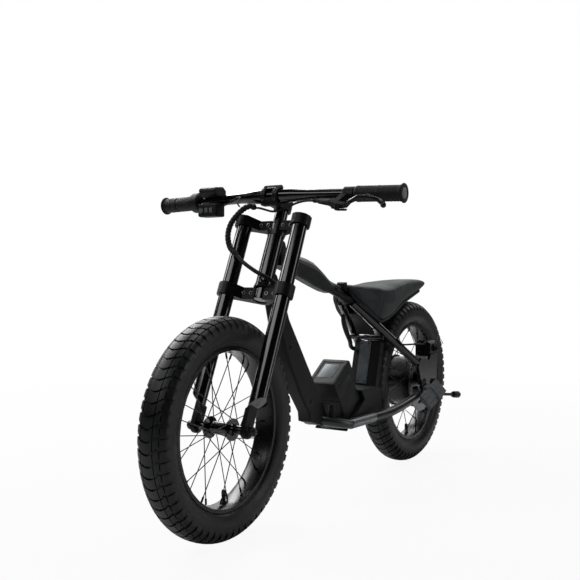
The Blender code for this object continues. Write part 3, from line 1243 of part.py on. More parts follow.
rings = []
for ahead, top, edge_y, edge_z, side_y, side_z, low_y, low_z in SEAT_TABLE:
    under, pan_top = pan_levels(ahead, low_z)
    sill = max(pan_top + GAP, low_z)
    inner = low_y * 0.74
    half = [(edge_y * 0.5, top - (top - edge_z) * 0.18), (edge_y * 0.86, top - (top - edge_z) * 0.62),
            (edge_y, edge_z - 0.0025), (side_y, side_z), (low_y, low_z), (low_y - 0.0040, low_z),
            (inner, sill)]
    ring = [(0, top)] + half + [(-y, z) for y, z in reversed(half)]
    rings.append([rear(ahead, y, z) for y, z in ring])
bm = bmesh.new()
loft(bm, rings)
solid("seat_cushion", bm, "vinyl", frame_root, rear(0.2, 0, 0.25), crease=45)

rings = []
for ahead, top, edge_y, edge_z, side_y, side_z, low_y, low_z in SEAT_TABLE[:-2]:
    under, pan_top = pan_levels(ahead, low_z)
    rail = rail_at(rear_axle_place.x + ahead)
    wide = low_y - 0.0015
    inner = low_y * 0.74 - GAP
    flange_top = low_z - GAP
    wall = min(max(abs(rail.y) + RAIL_RADIUS + 0.0010, inner + 0.0010), wide - 0.0025)
    if ahead > APEX_AHEAD:
        wall = wide - 0.0020
    half = [(inner, max(pan_top, low_z) - GAP), (wide - 0.0030, flange_top), (wide, flange_top),
            (wide - 0.0010, low_z - PAN_BAND), (wall, low_z - PAN_BAND), (wall - 0.0006, under)]
    ring = list(reversed(half)) + [(-y, z) for y, z in half]
    rings.append([rear(ahead, y, z) for y, z in ring])
bm = bmesh.new()
loft(bm, rings)
pan = solid("seat_pan", bm, "plastic", frame_root, rear(0.2, 0, 0.2), crease=40)
nose = bmesh.new()
nose_x = SEAT_TABLE[0][0]
outline = [(-0.0012, 0.2546), (0.0118, 0.2582), (0.0148, 0.2640), (0.0148, 0.2735), (0.0108, 0.2765),
           (0.0020, 0.2760), (2 * GAP, 0.2720), (2 * GAP, 0.2590), (-0.0012, 0.2580)]
prism(nose, outline, rear(nose_x, -SEAT_NOSE_HALF, 0), Vector((1, 0, 0)), Vector((0, 0, 1)),
      side * SEAT_NOSE_HALF * 2)
combine(pan, guide("pan_nose", nose), "UNION")

# caliper bolted down on the left dropout's ear, with its arm
rotor_near = rotor_inner - 0.0008
rotor_far = rotor_inner + ROTOR_THICKNESS + 0.0010
shelf = 0.0780 + GAP
roof = ROTOR_RADIUS + 0.0020
plate_out = DROPOUT_INNER_Y + DROPOUT_THICKNESS
outline = [(0.0385, 0.0710), (rotor_near, 0.0710), (rotor_near, roof), (rotor_far, roof), (rotor_far, 0.0710),
           (DROPOUT_INNER_Y - GAP, 0.0710), (DROPOUT_INNER_Y - GAP, shelf), (plate_out - 0.0010, shelf),
           (plate_out - 0.0010, 0.1040), (plate_out - 0.0080, 0.1120), (0.0450, 0.1120), (0.0385, 0.1040)]
bm = bmesh.new()
prism(bm, outline, rear(-0.0230, 0, 0), side, Vector((0, 0, 1)), Vector((0.0420, 0, 0)))
soften(bm, 0.0020, angle=60)
caliper_place = rear(-0.0020, 0.060, 0.092)
item = solid("brake_caliper", bm, "anodised", frame_root, caliper_place)
arm_place = rear(-0.0060, plate_out - 0.0010 + GAP, 0.0930)
hub_ring = bmesh.new()
turned(hub_ring, [(-0.004, 0), (-0.004, 0.0042), (0.0060, 0.0042), (0.0060, 0)], arm_place, side, 14)
combine(item, guide("arm_pin", hub_ring), "UNION")
arm_root = pivot("caliper_arm_axis", arm_place, frame_root)
bm = bmesh.new()
outline = arc(0, 0, 0.0095, -150, 60, 8) + arc(-0.0150, 0.0210, 0.0045, 40, 230, 5)
prism(bm, outline, arm_place, Vector((1, 0, 0)), Vector((0, 0, 1)), side * 0.0045)
item = solid("caliper_arm", bm, "dark_steel", arm_root, arm_place)
hole = bmesh.new()
turned(hole, [(-0.003, 0), (-0.003, 0.0042 + GAP), (0.008, 0.0042 + GAP), (0.008, 0)], arm_place, side, 14)
combine(item, guide("arm_hole", hole), "DIFFERENCE")

# kickstand folded back along the left dropout
stand_place = rear(0.0340, plate_out + GAP, -0.0270)
stand_root = pivot("kickstand_axis", stand_place, frame_root)
heading = Vector((-1, 0.096, -0.128)).normalized()
bm = bmesh.new()
turned(bm, [(0, 0), (0, 0.0105), (0.0090, 0.0105), (0.0100, 0.0095), (0.0100, 0)], stand_place, side, 12)
item = solid("kickstand", bm, "satin_black", stand_root, stand_place)
leg = bmesh.new()
start = stand_place + side * 0.0062
shoe = KICKSTAND_LENGTH - 0.0350
reach = [0, 0.0120, 0.0520, 0.0580, shoe, shoe + 0.0005, shoe + 0.0100, shoe + 0.0300, KICKSTAND_LENGTH]
wide = [0.0052, 0.0070, 0.0066, 0.0042, 0.0042, 0.0080, 0.0098, 0.0098, 0.0080]
tube(leg, [start + heading * r for r in reach], wide, 8)
combine(item, guide("kickstand_leg", leg), "UNION")

# folding footrests: studded treads on either side of an arm
knuckle = 0.0060
hang_down = math.radians(FOOTREST_HANG)
for hand, name in ((1, "left"), (-1, "right")):
    axis = Vector((-math.cos(math.radians(19)), 0, math.sin(math.radians(19))))
    place = rear(FOOTREST_AHEAD, hand * (plate_out + 0.0050 + 2 * GAP + knuckle), FOOTREST_UP)
    outward = side * hand
    down = -axis.cross(side)
    if down.z > 0:
        down = -down
    arm = outward * math.cos(hang_down) + down * math.sin(hang_down)
    across = -outward * math.sin(hang_down) + down * math.cos(hang_down)
    root = pivot("footrest_axis_" + name, place, frame_root)
    bm = bmesh.new()
    turned(bm, [(-0.0120, 0), (-0.0120, knuckle), (0.0120, knuckle), (0.0120, 0)], place, axis, 14)
    item = solid("footrest_" + name, bm, "grey_plastic", root, place)
    tread = bmesh.new()
    block(tread, place + arm * (0.001 + PEDAL_WIDTH / 2),
          (PEDAL_LENGTH, PEDAL_WIDTH - 0.004, PEDAL_THICKNESS * 0.6),
          (axis, arm, across))
    combine(item, guide("footrest_core_" + name, tread), "UNION")
    pads = bmesh.new()
    for shift in (-0.5, 0.5):
        middle = place + arm * (0.008 + PEDAL_WIDTH / 2) + axis * shift * (PEDAL_LENGTH * 0.58)
        block(pads, middle, (PEDAL_LENGTH * 0.44, PEDAL_WIDTH, PEDAL_THICKNESS), (axis, arm, across))
    combine(item, guide("footrest_pads_" + name, pads), "UNION")
    plate = bpy.data.objects["dropout_" + name]
    lug = bmesh.new()
    middle = rear(FOOTREST_AHEAD, hand * (plate_out + 0.0020), FOOTREST_UP)
    block(lug, middle, (0.0240, 0.0060, 0.0140), (axis, side * hand, axis.cross(side * hand)))
    combine(plate, guide("footrest_lug_" + name, lug), "UNION")

# cables, harness and loom
barrel_heading = Vector((-0.0024, -0.0120, 0.0009)).normalized()
perch_end = lever_pin + Vector((-0.0142, -0.0720, 0.0157)) + barrel_heading * GAP
wrap_start = bar_middle + Vector((0.0189, -0.0320, -0.0215))
under_stem = fork(LEG_TOP + 0.0110, 0.0300, 0.0020)
route = [perch_end, perch_end + Vector((-0.0040, -0.0200, 0.0015)),
         perch_end + Vector((-0.0090, -0.0480, -0.0020)), under_stem + Vector((0.0050, 0.0350, 0.0070)),
         under_stem, wrap_start + Vector((-0.0040, 0.0200, -0.0060)),
         wrap_start + Vector((0, 0.0100, -0.0026)), wrap_start + Vector((0, 1.5 * GAP, -0.0026))]
points = smooth_route(route, 0.0080)
cord("lever_cable", points, [CABLE_RADIUS] * len(points), "soft_rubber", steer_root)
wrap_out = Vector((0.3500, -0.5100, 0.7900))
wrap_joint = Vector((0.2650, -0.0580, 0.6525)) + wrap_out * (WRAP_RADIUS + 2 * GAP)
switch_side = box_centre + Vector((0.0020, SWITCH_HALF + GAP, 0.0060))
route = [switch_side, switch_side + Vector((-0.0010, 0.0120, 0.0030)),
         bar_centre(-0.0950) + Vector((0.0165, 0, -0.0040)),
         bar_centre(-0.0720) + Vector((0.0170, 0, 0.0020)),
         wrap_joint + wrap_out * 0.0120, wrap_joint + wrap_out * 0.0060, wrap_joint]
points = smooth_route(route, 0.0090)
cord("display_cable", points, [CABLE_RADIUS * 0.72] * len(points), "soft_rubber", steer_root)

route = [wrap_start, wrap_start + Vector((0, -0.0080, 0)), Vector((0.2560, -0.0446, 0.6605)),
         Vector((0.2650, -0.0580, 0.6525)), Vector((0.2800, -0.0745, 0.6269)), Vector((0.2900, -0.0778, 0.5992)),
         Vector((0.2950, -0.0691, 0.5737)), Vector((0.3000, -0.0501, 0.5587)), Vector((0.3050, -0.0288, 0.5418)),
         Vector((0.3070, 0.0026, 0.5232)), Vector((0.2970, 0.0224, 0.5109)), Vector((0.2800, 0.0330, 0.4990)),
         Vector((0.2570, 0.0370, 0.4930)), Vector((0.2450, 0.0330, 0.4915)),
         Vector((0.2440, 0.0260, 0.4915)), Vector((0.2440, TUBE_HALF_WIDTH + 2 * GAP, 0.4915))]
fine = smooth_route(route, 0.0010)
travel = [0.0]
for a, b in zip(fine, fine[1:]):
    travel.append(travel[-1] + (b - a).length)
wrap_length = 0.1500
points, radii = [], []
pitch = WRAP_PITCH
marks = [0.0, WRAP_RADIUS * 1.2]
k = 0
while marks[-1] < wrap_length:
    marks.append(WRAP_RADIUS * 1.2 + pitch * (k + 0.5))
    k += 0.5
widths = [WRAP_RADIUS * 0.9, WRAP_RADIUS * 0.9]
widths += [WRAP_RADIUS if i % 2 else WRAP_RADIUS * 0.82 for i in range(len(marks) - 2)]
smooth_marks = 16
last = marks[-1]
for k in range(1, smooth_marks + 1):
    marks.append(last + (travel[-1] - last) * k / smooth_marks)
    widths.append(HARNESS_RADIUS)
for mark, width in zip(marks, widths):
    i = min(range(len(travel)), key=lambda n: abs(travel[n] - mark))
    points.append(fine[i])
    radii.append(width)
cord("harness", points, radii, "soft_rubber", frame_root)

rail_heading = (rail_point(1, 1) - rail_point(1, 0)).normalized()
rail_side = (side - rail_heading * side.dot(rail_heading)).normalized()
rail_lift = rail_side.cross(rail_heading)
start = rail_point(1, 0.60) + rail_side * (RAIL_RADIUS + CABLE_RADIUS + 2 * GAP) + rail_lift * 0.0020
stop = Vector((caliper_place.x + 0.0210 + GAP, 0.0700, caliper_place.z + 0.0120))
route = [start, start + rail_heading * 0.0160, start + rail_heading * 0.0320 + rail_side * 0.0015,
         stop + Vector((0.0550, 0.0060, 0.0060)), stop + Vector((0.0200, 0, 0.0015)), stop]
points = smooth_route(route, 0.0080)
cord("caliper_cable", points, [CABLE_RADIUS] * len(points), "soft_rubber", frame_root)

rail_in = rail_point(-1, 0.070)
under_rail = RAIL_RADIUS * rail_slope + LOOM_RADIUS * (APEX_UP - RAIL_END_UP) / (APEX_AHEAD - RAIL_END_AHEAD)
start = rail_in - Vector((0, 0, under_rail + 2 * GAP))
half = CONTROLLER_HALF_WIDTH
face_run = (half - CONTROLLER_FACE_HALF) / CONTROLLER_BEVEL
bevel_normal = (case_out * face_run - side).normalized()
entry = case_origin + case_up * (CONTROLLER_LENGTH - 0.0260) - case_out * CONTROLLER_BEVEL * 0.62
entry += -side * (CONTROLLER_FACE_HALF + (half - CONTROLLER_FACE_HALF) * 0.62) + bevel_normal * 0.0016
route = [start, start - Vector((0, 0, 0.0140)), Vector((-0.1120, -0.0195, 0.3860)),
         Vector((-0.1330, -0.0220, 0.3610)), Vector((-0.1530, -0.0255, 0.3440)),
         entry + bevel_normal * 0.0160 + case_up * 0.0060, entry + bevel_normal * 0.0070, entry]
points = smooth_route(route, 0.0140)
radii = []
for i in range(len(points)):
    radii.append(LOOM_RADIUS * 1.2 if 2 <= i <= 4 else LOOM_RADIUS)
cord("motor_loom", points, radii, "soft_rubber", frame_root)
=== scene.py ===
import json
import bmesh
import bpy
from math import atan2, copysign, cos, hypot, pi, radians, sin, tau
from mathutils import Matrix, Vector
from mathutils.bvhtree import BVHTree
from mathutils.geometry import interpolate_bezier

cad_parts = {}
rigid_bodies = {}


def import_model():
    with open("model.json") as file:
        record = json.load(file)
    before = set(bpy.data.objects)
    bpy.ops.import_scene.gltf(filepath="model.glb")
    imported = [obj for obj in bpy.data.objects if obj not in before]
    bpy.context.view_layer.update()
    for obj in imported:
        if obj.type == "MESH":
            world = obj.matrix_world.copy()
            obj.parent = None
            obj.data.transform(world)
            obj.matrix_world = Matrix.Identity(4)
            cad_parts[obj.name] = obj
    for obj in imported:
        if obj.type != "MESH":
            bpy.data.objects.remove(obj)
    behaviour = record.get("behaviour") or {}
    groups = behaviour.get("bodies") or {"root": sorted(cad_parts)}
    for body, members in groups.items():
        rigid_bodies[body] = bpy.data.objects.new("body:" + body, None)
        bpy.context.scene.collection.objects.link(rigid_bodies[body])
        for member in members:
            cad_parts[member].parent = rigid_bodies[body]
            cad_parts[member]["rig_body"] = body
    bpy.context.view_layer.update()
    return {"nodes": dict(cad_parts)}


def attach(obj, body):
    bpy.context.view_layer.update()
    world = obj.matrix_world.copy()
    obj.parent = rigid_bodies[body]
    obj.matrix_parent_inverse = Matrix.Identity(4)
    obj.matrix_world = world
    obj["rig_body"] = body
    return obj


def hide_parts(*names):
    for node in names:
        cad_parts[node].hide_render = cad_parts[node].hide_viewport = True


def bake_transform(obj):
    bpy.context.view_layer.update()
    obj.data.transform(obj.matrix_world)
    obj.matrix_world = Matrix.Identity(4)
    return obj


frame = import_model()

nodes = frame["nodes"]
print("frame loaded:", len(nodes), "nodes")


# camera, solved from both wheels, the fork and the bar in the photograph; turns in degrees
cameraSetup = {"place": (1.7672, 1.0131, 0.5272), "yaw": 32.38, "pitch": 1.395, "roll": -0.274, "lens": 53.86,
               "sensor": 36}


def makeCamera(setup):
    yaw, pitch, roll = (radians(setup[k]) for k in ("yaw", "pitch", "roll"))
    ahead = Vector((-cos(yaw) * cos(pitch), -sin(yaw) * cos(pitch), -sin(pitch)))
    across = ahead.cross(Vector((0, 0, 1))).normalized()
    above = across.cross(ahead)
    tiltedAcross = across * cos(roll) + above * sin(roll)
    tiltedAbove = above * cos(roll) - across * sin(roll)
    turn = Matrix((tiltedAcross, tiltedAbove, -ahead)).transposed()
    data = bpy.data.cameras.new("bikeCamera")
    data.lens = setup["lens"]
    data.sensor_width = setup["sensor"]
    item = makeObject("bikeCamera", data)
    item.matrix_world = Matrix.Translation(setup["place"]) @ turn.to_4x4()
    bpy.context.scene.camera = item


def makeObject(name, data):
    item = bpy.data.objects.new(name, data)
    bpy.context.scene.collection.objects.link(item)
    return item


def emptyTree(owner):
    owner.use_nodes = True
    owner.node_tree.nodes.clear()
    return owner.node_tree


def hexColour(code):
    parts = [int(code[i:i + 2], 16) / 255 for i in (1, 3, 5)]
    linear = [c / 12.92 if c <= 0.04045 else ((c + 0.055) / 1.055) ** 2.4 for c in parts]
    return (*linear, 1.0)


def addNode(tree, kind, place, sockets=None, **settings):
    # a socket takes a plain value, or a node and the name of its output
    node = tree.nodes.new(kind)
    node.location = place
    for key, value in settings.items():
        setattr(node, key, value)
    for key, value in (sockets or {}).items():
        if isinstance(value, tuple) and isinstance(value[0], bpy.types.Node):
            tree.links.new(value[0].outputs[value[1]], node.inputs[key])
        else:
            node.inputs[key].default_value = value
    return node


# studio: reflections see white behind the bike and dark on the camera's side, the eye sees plain white.
# Each lamp has its place, its target, its size in metres and its power in watts
studio = {
    "worldLight": 0.15, "darkTowards": (0.84, 0.52, 0.0), "whiteUpTo": -0.96, "darkFrom": -0.52,
    "darkSide": 0.008, "floorTone": "#cfcfcf", "floorSize": 40.0, "floorDrop": 0.0006,
    "whiteFloorFrom": 0.5, "whiteFloorAt": 2.6, "floorGlow": 0.93,
    "lamps": {"topSoftbox": ((-0.2, 0.1, 2.3), (0.0, 0.0, 0.4), (1.4, 1.0), 12),
              "leftSoftbox": ((-0.3, -1.5, 1.65), (0.1, 0.0, 0.35), (2.4, 0.7), 38),
              "frontSoftbox": ((2.68, -0.49, 2.59), (0.35, 0.0, 0.45), (2.9, 0.9), 22),
              "rearSoftbox": ((-2.0, 0.0, 1.65), (0.0, 0.0, 0.3), (2.0, 0.6), 7),
              "rightStrip": ((-0.9, 2.3, 1.0), (0.0, 0.0, 0.35), (0.6, 1.8), 8)}}


def makeWorld(setup):
    world = bpy.data.worlds.new("studioWorld")
    bpy.context.scene.world = world
    tree = emptyTree(world)
    ray = addNode(tree, "ShaderNodeLightPath", (0, 300))
    coords = addNode(tree, "ShaderNodeTexCoord", (-500, -100))
    facing = addNode(tree, "ShaderNodeVectorMath", (-300, -100),
                     {0: (coords, "Generated"), 1: Vector(setup["darkTowards"]).normalized()},
                     operation="DOT_PRODUCT")
    shade = addNode(tree, "ShaderNodeMapRange", (-100, -100),
                    {"Value": (facing, "Value"), "From Min": setup["whiteUpTo"],
                     "From Max": setup["darkFrom"], "To Min": 1.0, "To Max": setup["darkSide"]},
                    interpolation_type="SMOOTHSTEP")
    light = addNode(tree, "ShaderNodeBackground", (400, -150), {"Strength": setup["worldLight"]})
    mirror = addNode(tree, "ShaderNodeBackground", (400, 50), {"Color": (shade, "Result")})
    white = addNode(tree, "ShaderNodeBackground", (400, 250), {"Color": (1, 1, 1, 1), "Strength": 1.0})
    shiny = addNode(tree, "ShaderNodeMath", (200, 200),
                    {0: (ray, "Is Glossy Ray"), 1: (ray, "Is Transmission Ray")}, operation="MAXIMUM")
    lit = addNode(tree, "ShaderNodeMixShader", (600, -50),
                  {"Fac": (shiny, "Value"), 1: (light, "Background"), 2: (mirror, "Background")})
    seen = addNode(tree, "ShaderNodeMixShader", (750, 50),
                   {"Fac": (ray, "Is Camera Ray"), 1: (lit, "Shader"), 2: (white, "Background")})
    addNode(tree, "ShaderNodeOutputWorld", (900, 0), {"Surface": (seen, "Shader")})


def makeFloor(setup):
    bm = bmesh.new()
    bmesh.ops.create_grid(bm, x_segments=1, y_segments=1, size=setup["floorSize"] / 2)
    bmesh.ops.translate(bm, verts=bm.verts, vec=(0, 0, -setup["floorDrop"]))
    mesh = bpy.data.meshes.new("studioFloor")
    bm.to_mesh(mesh)
    bm.free()
    material = bpy.data.materials.new("paperFloor")  # matt pale paper sweep, which fades to white far off
    tree = emptyTree(material)
    paper = addNode(tree, "ShaderNodeBsdfDiffuse", (0, 0), {"Color": hexColour(setup["floorTone"])})
    white = addNode(tree, "ShaderNodeEmission", (0, -200), {"Color": (1, 1, 1, 1), "Strength": 1.0})
    ray = addNode(tree, "ShaderNodeLightPath", (-200, 200))
    coords = addNode(tree, "ShaderNodeTexCoord", (-700, 0))
    reach = addNode(tree, "ShaderNodeVectorMath", (-500, 0), {0: (coords, "Object")}, operation="LENGTH")
    fade = addNode(tree, "ShaderNodeMapRange", (-300, 0),
                   {"Value": (reach, "Value"), "From Min": setup["whiteFloorFrom"],
                    "From Max": setup["whiteFloorAt"], "To Min": setup["floorGlow"], "To Max": 1.0},
                   interpolation_type="SMOOTHSTEP")
    share = addNode(tree, "ShaderNodeMath", (100, 200), {0: (ray, "Is Camera Ray"), 1: (fade, "Result")},
                    operation="MULTIPLY")
    mix = addNode(tree, "ShaderNodeMixShader", (400, 0),
                  {"Fac": (share, "Value"), 1: (paper, "BSDF"), 2: (white, "Emission")})
    addNode(tree, "ShaderNodeOutputMaterial", (600, 0), {"Surface": (mix, "Shader")})
    mesh.materials.append(material)
    floor = makeObject("studioFloor", mesh)


def makeLamps(setup):
    for name, (place, target, size, power) in setup["lamps"].items():
        data = bpy.data.lights.new(name, "AREA")
        data.shape = "RECTANGLE"
        data.size, data.size_y = size
        data.energy = power
        lamp = makeObject(name, data)
        lamp.location = place
        lamp.rotation_euler = (Vector(place) - Vector(target)).to_track_quat("Z", "Y").to_euler()


makeCamera(cameraSetup)
makeWorld(studio)
makeFloor(studio)
makeLamps(studio)
bpy.context.scene.view_settings.view_transform = "Standard"
print("camera, studio and lamps ready")


# textures of the finishes: each gives the node and output that drive the bump
def fineGrain(tree, coords, look):
    grain = addNode(tree, "ShaderNodeTexNoise", (-700, -250),
                    {"Vector": (coords, "Object"), "Scale": 1000 / look["grainMm"], "Detail": 3.0,
                     "Roughness": 0.55})
    return grain, "Fac"


def pebbles(tree, coords, look):
    pebble = addNode(tree, "ShaderNodeTexVoronoi", (-700, -250),
                     {"Vector": (coords, "Object"), "Scale": 1000 / look["grainMm"], "Randomness": 0.9},
                     feature="SMOOTH_F1")
    return pebble, "Distance"


def brushedStreaks(tree, coords, look):
    stretch = addNode(tree, "ShaderNodeMapping", (-900, -350),
                      {"Vector": (coords, "Object"), "Scale": look["streaksPerMetre"]})
    streaks = addNode(tree, "ShaderNodeTexNoise", (-700, -350),
                      {"Vector": (stretch, "Vector"), "Scale": 1.0, "Detail": 2.0, "Roughness": 0.5})
    return streaks, "Fac"


def makeFinish(name, look):
    material = bpy.data.materials.new(name)
    tree = emptyTree(material)
    coords = addNode(tree, "ShaderNodeTexCoord", (-1000, 0))
    # slow change of tone and polish, as dust and handling leave it
    cloud = addNode(tree, "ShaderNodeTexNoise", (-700, 250),
                    {"Vector": (coords, "Object"), "Scale": 1000 / look["cloudMm"], "Detail": 4.0,
                     "Roughness": 0.6})
    tones = addNode(tree, "ShaderNodeValToRGB", (-450, 250), {"Fac": (cloud, "Fac")})
    for stop, place, tone in zip(tones.color_ramp.elements, (0.3, 0.72), look["tones"]):
        stop.position = place
        stop.color = hexColour(tone)
    smoothest, roughest = look["rough"]
    polish = addNode(tree, "ShaderNodeMapRange", (-150, 0),
                     {"Value": (cloud, "Fac"), "From Min": 0.3, "From Max": 0.7, "To Min": smoothest,
                      "To Max": roughest})
    strength, depth = look["bump"]
    bump = addNode(tree, "ShaderNodeBump", (300, -300),
                   {"Height": look.get("texture", fineGrain)(tree, coords, look), "Strength": strength,
                    "Distance": depth})
    coat, coatRough = look.get("coat", (0.0, 0.05))
    shader = addNode(tree, "ShaderNodeBsdfPrincipled", (600, 0),
                     {"Base Color": (tones, "Color"), "Roughness": (polish, "Result"),
                      "Normal": (bump, "Normal"), "Metallic": look.get("metal", 0.0),
                      "Specular IOR Level": look.get("specular", 0.5), "Coat Weight": coat,
                      "Coat Roughness": coatRough})
    addNode(tree, "ShaderNodeOutputMaterial", (900, 0), {"Surface": (shader, "BSDF")})
    return material


# each look: its two tones, span of roughness, sizes of cloud and grain in millimetres, the bump's strength
# and depth in metres, and a coat's weight and roughness
looks = {
    # wet-look black paint over clear coat, faint orange peel
    "glossBlackPaint": {"tones": ("#030304", "#070708"), "rough": (0.14, 0.22), "cloudMm": 60, "grainMm": 1.6,
                        "bump": (0.05, 0.0002), "coat": (0.6, 0.06)},
    # fine satin powder coat of the frame
    "satinPowderCoat": {"tones": ("#08090a", "#0e0f11"), "rough": (0.38, 0.5), "cloudMm": 70, "grainMm": 0.5,
                        "bump": (0.1, 0.0002), "specular": 0.26},
    # smooth satin lacquer of the lower cradle tubes, its tones lighter than the black paint as a painted
    # highlight
    "satinTubeWithPaintedHighlight": {"tones": ("#1a1c1e", "#26292b"), "rough": (0.26, 0.36), "cloudMm": 50, "grainMm": 0.6,
                  "bump": (0.06, 0.0001), "coat": (0.5, 0.25)},
    # black anodised rims and levers with a faint sheen
    "blackAnodised": {"tones": ("#060607", "#0c0c0d"), "rough": (0.22, 0.32), "cloudMm": 40, "grainMm": 0.6,
                      "bump": (0.06, 0.0001), "specular": 0.4, "coat": (0.2, 0.2)},
    # matt tyre rubber with bloom
    "tyreRubber": {"tones": ("#08090a", "#101315"), "rough": (0.36, 0.5), "cloudMm": 34, "grainMm": 0.9,
                   "bump": (0.25, 0.0003)},
    # moulded black grip and cable rubber
    "softRubber": {"tones": ("#08090a", "#121416"), "rough": (0.5, 0.66), "cloudMm": 25, "grainMm": 0.7,
                   "bump": (0.2, 0.0002), "specular": 0.35},
    # spark-textured case plastic
    "casePlastic": {"tones": ("#0d0f10", "#151719"), "rough": (0.42, 0.56), "cloudMm": 45, "grainMm": 0.6,
                    "bump": (0.22, 0.0002), "specular": 0.3, "texture": pebbles},
    # dark grey glass-filled nylon
    "greyNylon": {"tones": ("#45494c", "#5a5e62"), "rough": (0.5, 0.64), "cloudMm": 18, "grainMm": 0.8,
                  "bump": (0.25, 0.0002), "texture": pebbles},
    # dark grey grained vinyl of the seat
    "seatVinyl": {"tones": ("#222628", "#2e3335"), "rough": (0.5, 0.62), "cloudMm": 55, "grainMm": 1.4,
                  "bump": (0.3, 0.0003), "specular": 0.3, "texture": pebbles},
    # pale grey moulded plugs and end caps
    "paleNylon": {"tones": ("#6f7275", "#8b8f92"), "rough": (0.44, 0.58), "cloudMm": 9, "grainMm": 0.6,
                  "bump": (0.2, 0.0001), "texture": pebbles},
    # dark glass of the display
    "screenGlass": {"tones": ("#040506", "#08090b"), "rough": (0.06, 0.12), "cloudMm": 30, "grainMm": 3.0,
                    "bump": (0.02, 0.0001)},
    # ground stainless disc, streaks about 1 mm by 4.5 mm, coarser than real so that they show
    "groundSteel": {"tones": ("#77797c", "#9a9c9f"), "rough": (0.24, 0.36), "cloudMm": 20,
                    "streaksPerMetre": (220, 900, 220), "bump": (0.12, 0.0001), "metal": 1.0,
                    "texture": brushedStreaks},
    # satin clear-anodised alloy of the cradle sleeves
    "satinAlloy": {"tones": ("#85888a", "#a3a6a8"), "rough": (0.3, 0.42), "cloudMm": 30, "grainMm": 0.5,
                   "bump": (0.05, 0.0001), "metal": 0.9},
    # dark zinc-plated fixings
    "darkZinc": {"tones": ("#2a2b2d", "#47494c"), "rough": (0.28, 0.42), "cloudMm": 9, "grainMm": 0.5,
                 "bump": (0.1, 0.0001), "metal": 0.9},
    # bright zinc bolt heads
    "brightZinc": {"tones": ("#8f9194", "#c3c5c7"), "rough": (0.24, 0.4), "cloudMm": 4, "grainMm": 0.4,
                   "bump": (0.1, 0.0001), "metal": 1.0},
    # grey brushed aluminium of the controller's cover and the blank label
    "brushedCover": {"tones": ("#4a4f53", "#62686c"), "rough": (0.34, 0.46), "cloudMm": 30,
                     "streaksPerMetre": (900, 900, 60), "bump": (0.15, 0.0001), "metal": 0.4,
                     "texture": brushedStreaks},
}
finishes = {name: makeFinish(name, look) for name, look in looks.items()}
print("finishes mixed:", len(finishes))


# makes the object of a finished bmesh; edges over keepAngle degrees stay sharp
def settle(bm, name, finish, body, keepAngle, weighted=False):
    for face in bm.faces:
        face.smooth = True
    for edge in bm.edges:
        edge.smooth = len(edge.link_faces) == 2 and edge.calc_face_angle() < radians(keepAngle)
    mesh = bpy.data.meshes.new(name)
    bm.to_mesh(mesh)
    bm.free()
    piece = makeObject(name, mesh)
    mesh.materials.append(finishes[finish])
    if weighted:
        even = piece.modifiers.new("evenNormals", "WEIGHTED_NORMAL")
        even.keep_sharp = True
    if body:
        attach(piece, body)
    return piece


def bodyOf(node):
    return nodes[node]["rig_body"]


side = Vector((0, 1, 0))
frontAxle = Vector((0.42198, 0, 0.2182))
rearAxle = Vector((-0.42198, 0, 0.2182))


def mirrored(point, hand):
    return Vector((point[0], point[1] * hand, point[2]))


def radial(turn):
    return Vector((cos(turn), 0, sin(turn)))


def copyOf(node):
    # triangles merged, then the flat ones joined, so that only real edges are left
    bm = bmesh.new()
    bm.from_mesh(nodes[node].data)
    bmesh.ops.remove_doubles(bm, verts=bm.verts, dist=0.00001)
    bmesh.ops.dissolve_limit(bm, angle_limit=radians(0.8), verts=bm.verts, edges=bm.edges)
    return bm


def rounded(bm, geom, width, steps, affect="EDGES"):
    bmesh.ops.bevel(bm, geom=geom, offset=width, affect=affect, segments=steps, profile=0.5,
                    clamp_overlap=True, material=-1)


def roundEdges(bm, width, overAngle):
    limit = radians(overAngle)
    sharp = [e for e in bm.edges if len(e.link_faces) == 2 and e.calc_face_angle() > limit]
    rounded(bm, sharp, width, 2)


def standing(place, heading, up=(0, 0, 1)):
    # Z runs along the heading, Y leans towards up
    ahead = Vector(heading).normalized()
    lean = Vector(up) - ahead * ahead.dot(Vector(up))
    lean = lean.normalized() if lean.length > 0.01 else ahead.orthogonal().normalized()
    turn = Matrix((lean.cross(ahead), lean, ahead)).transposed()
    return Matrix.Translation(place) @ turn.to_4x4()


def addPart(bm, part, place):
    bmesh.ops.recalc_face_normals(part, faces=part.faces)
    bmesh.ops.transform(part, matrix=place, verts=part.verts)
    mesh = bpy.data.meshes.new("smallPart")
    part.to_mesh(mesh)
    part.free()
    bm.from_mesh(mesh)
    bpy.data.meshes.remove(mesh)


def turned(bm, line, place, steps, oval=1.0, loop=False):
    # lathe: pairs of radius and height spun about Z, then put in place
    part = bmesh.new()
    ring = [part.verts.new((radius, 0, height)) for radius, height in line]
    edges = [part.edges.new(pair) for pair in zip(ring, ring[1:] + ring[:1] if loop else ring[1:])]
    bmesh.ops.spin(part, geom=ring + edges, cent=(0, 0, 0), axis=(0, 0, 1), angle=tau, steps=steps,
                   use_merge=True)
    bmesh.ops.remove_doubles(part, verts=part.verts, dist=0.000001)
    bmesh.ops.scale(part, vec=(1, oval, 1), verts=part.verts)
    addPart(bm, part, place)


def turnedPiece(name, finish, node, keepAngle, parts, steps=20, oval=1.0):
    # one piece of several turned parts, each a line and its place
    bm = bmesh.new()
    for line, place in parts:
        turned(bm, line, place, steps, oval)
    settle(bm, name, finish, bodyOf(node), keepAngle)


def screwLine(radius, height, socket):
    # a domed head with a conical socket, sunk 0.6 mm into what it holds
    return [(0, height * 0.35), (socket * 0.86, height * 0.35), (socket, height * 0.95),
            (radius * 0.84, height), (radius, height * 0.78), (radius, -0.0006), (0, -0.0006)]


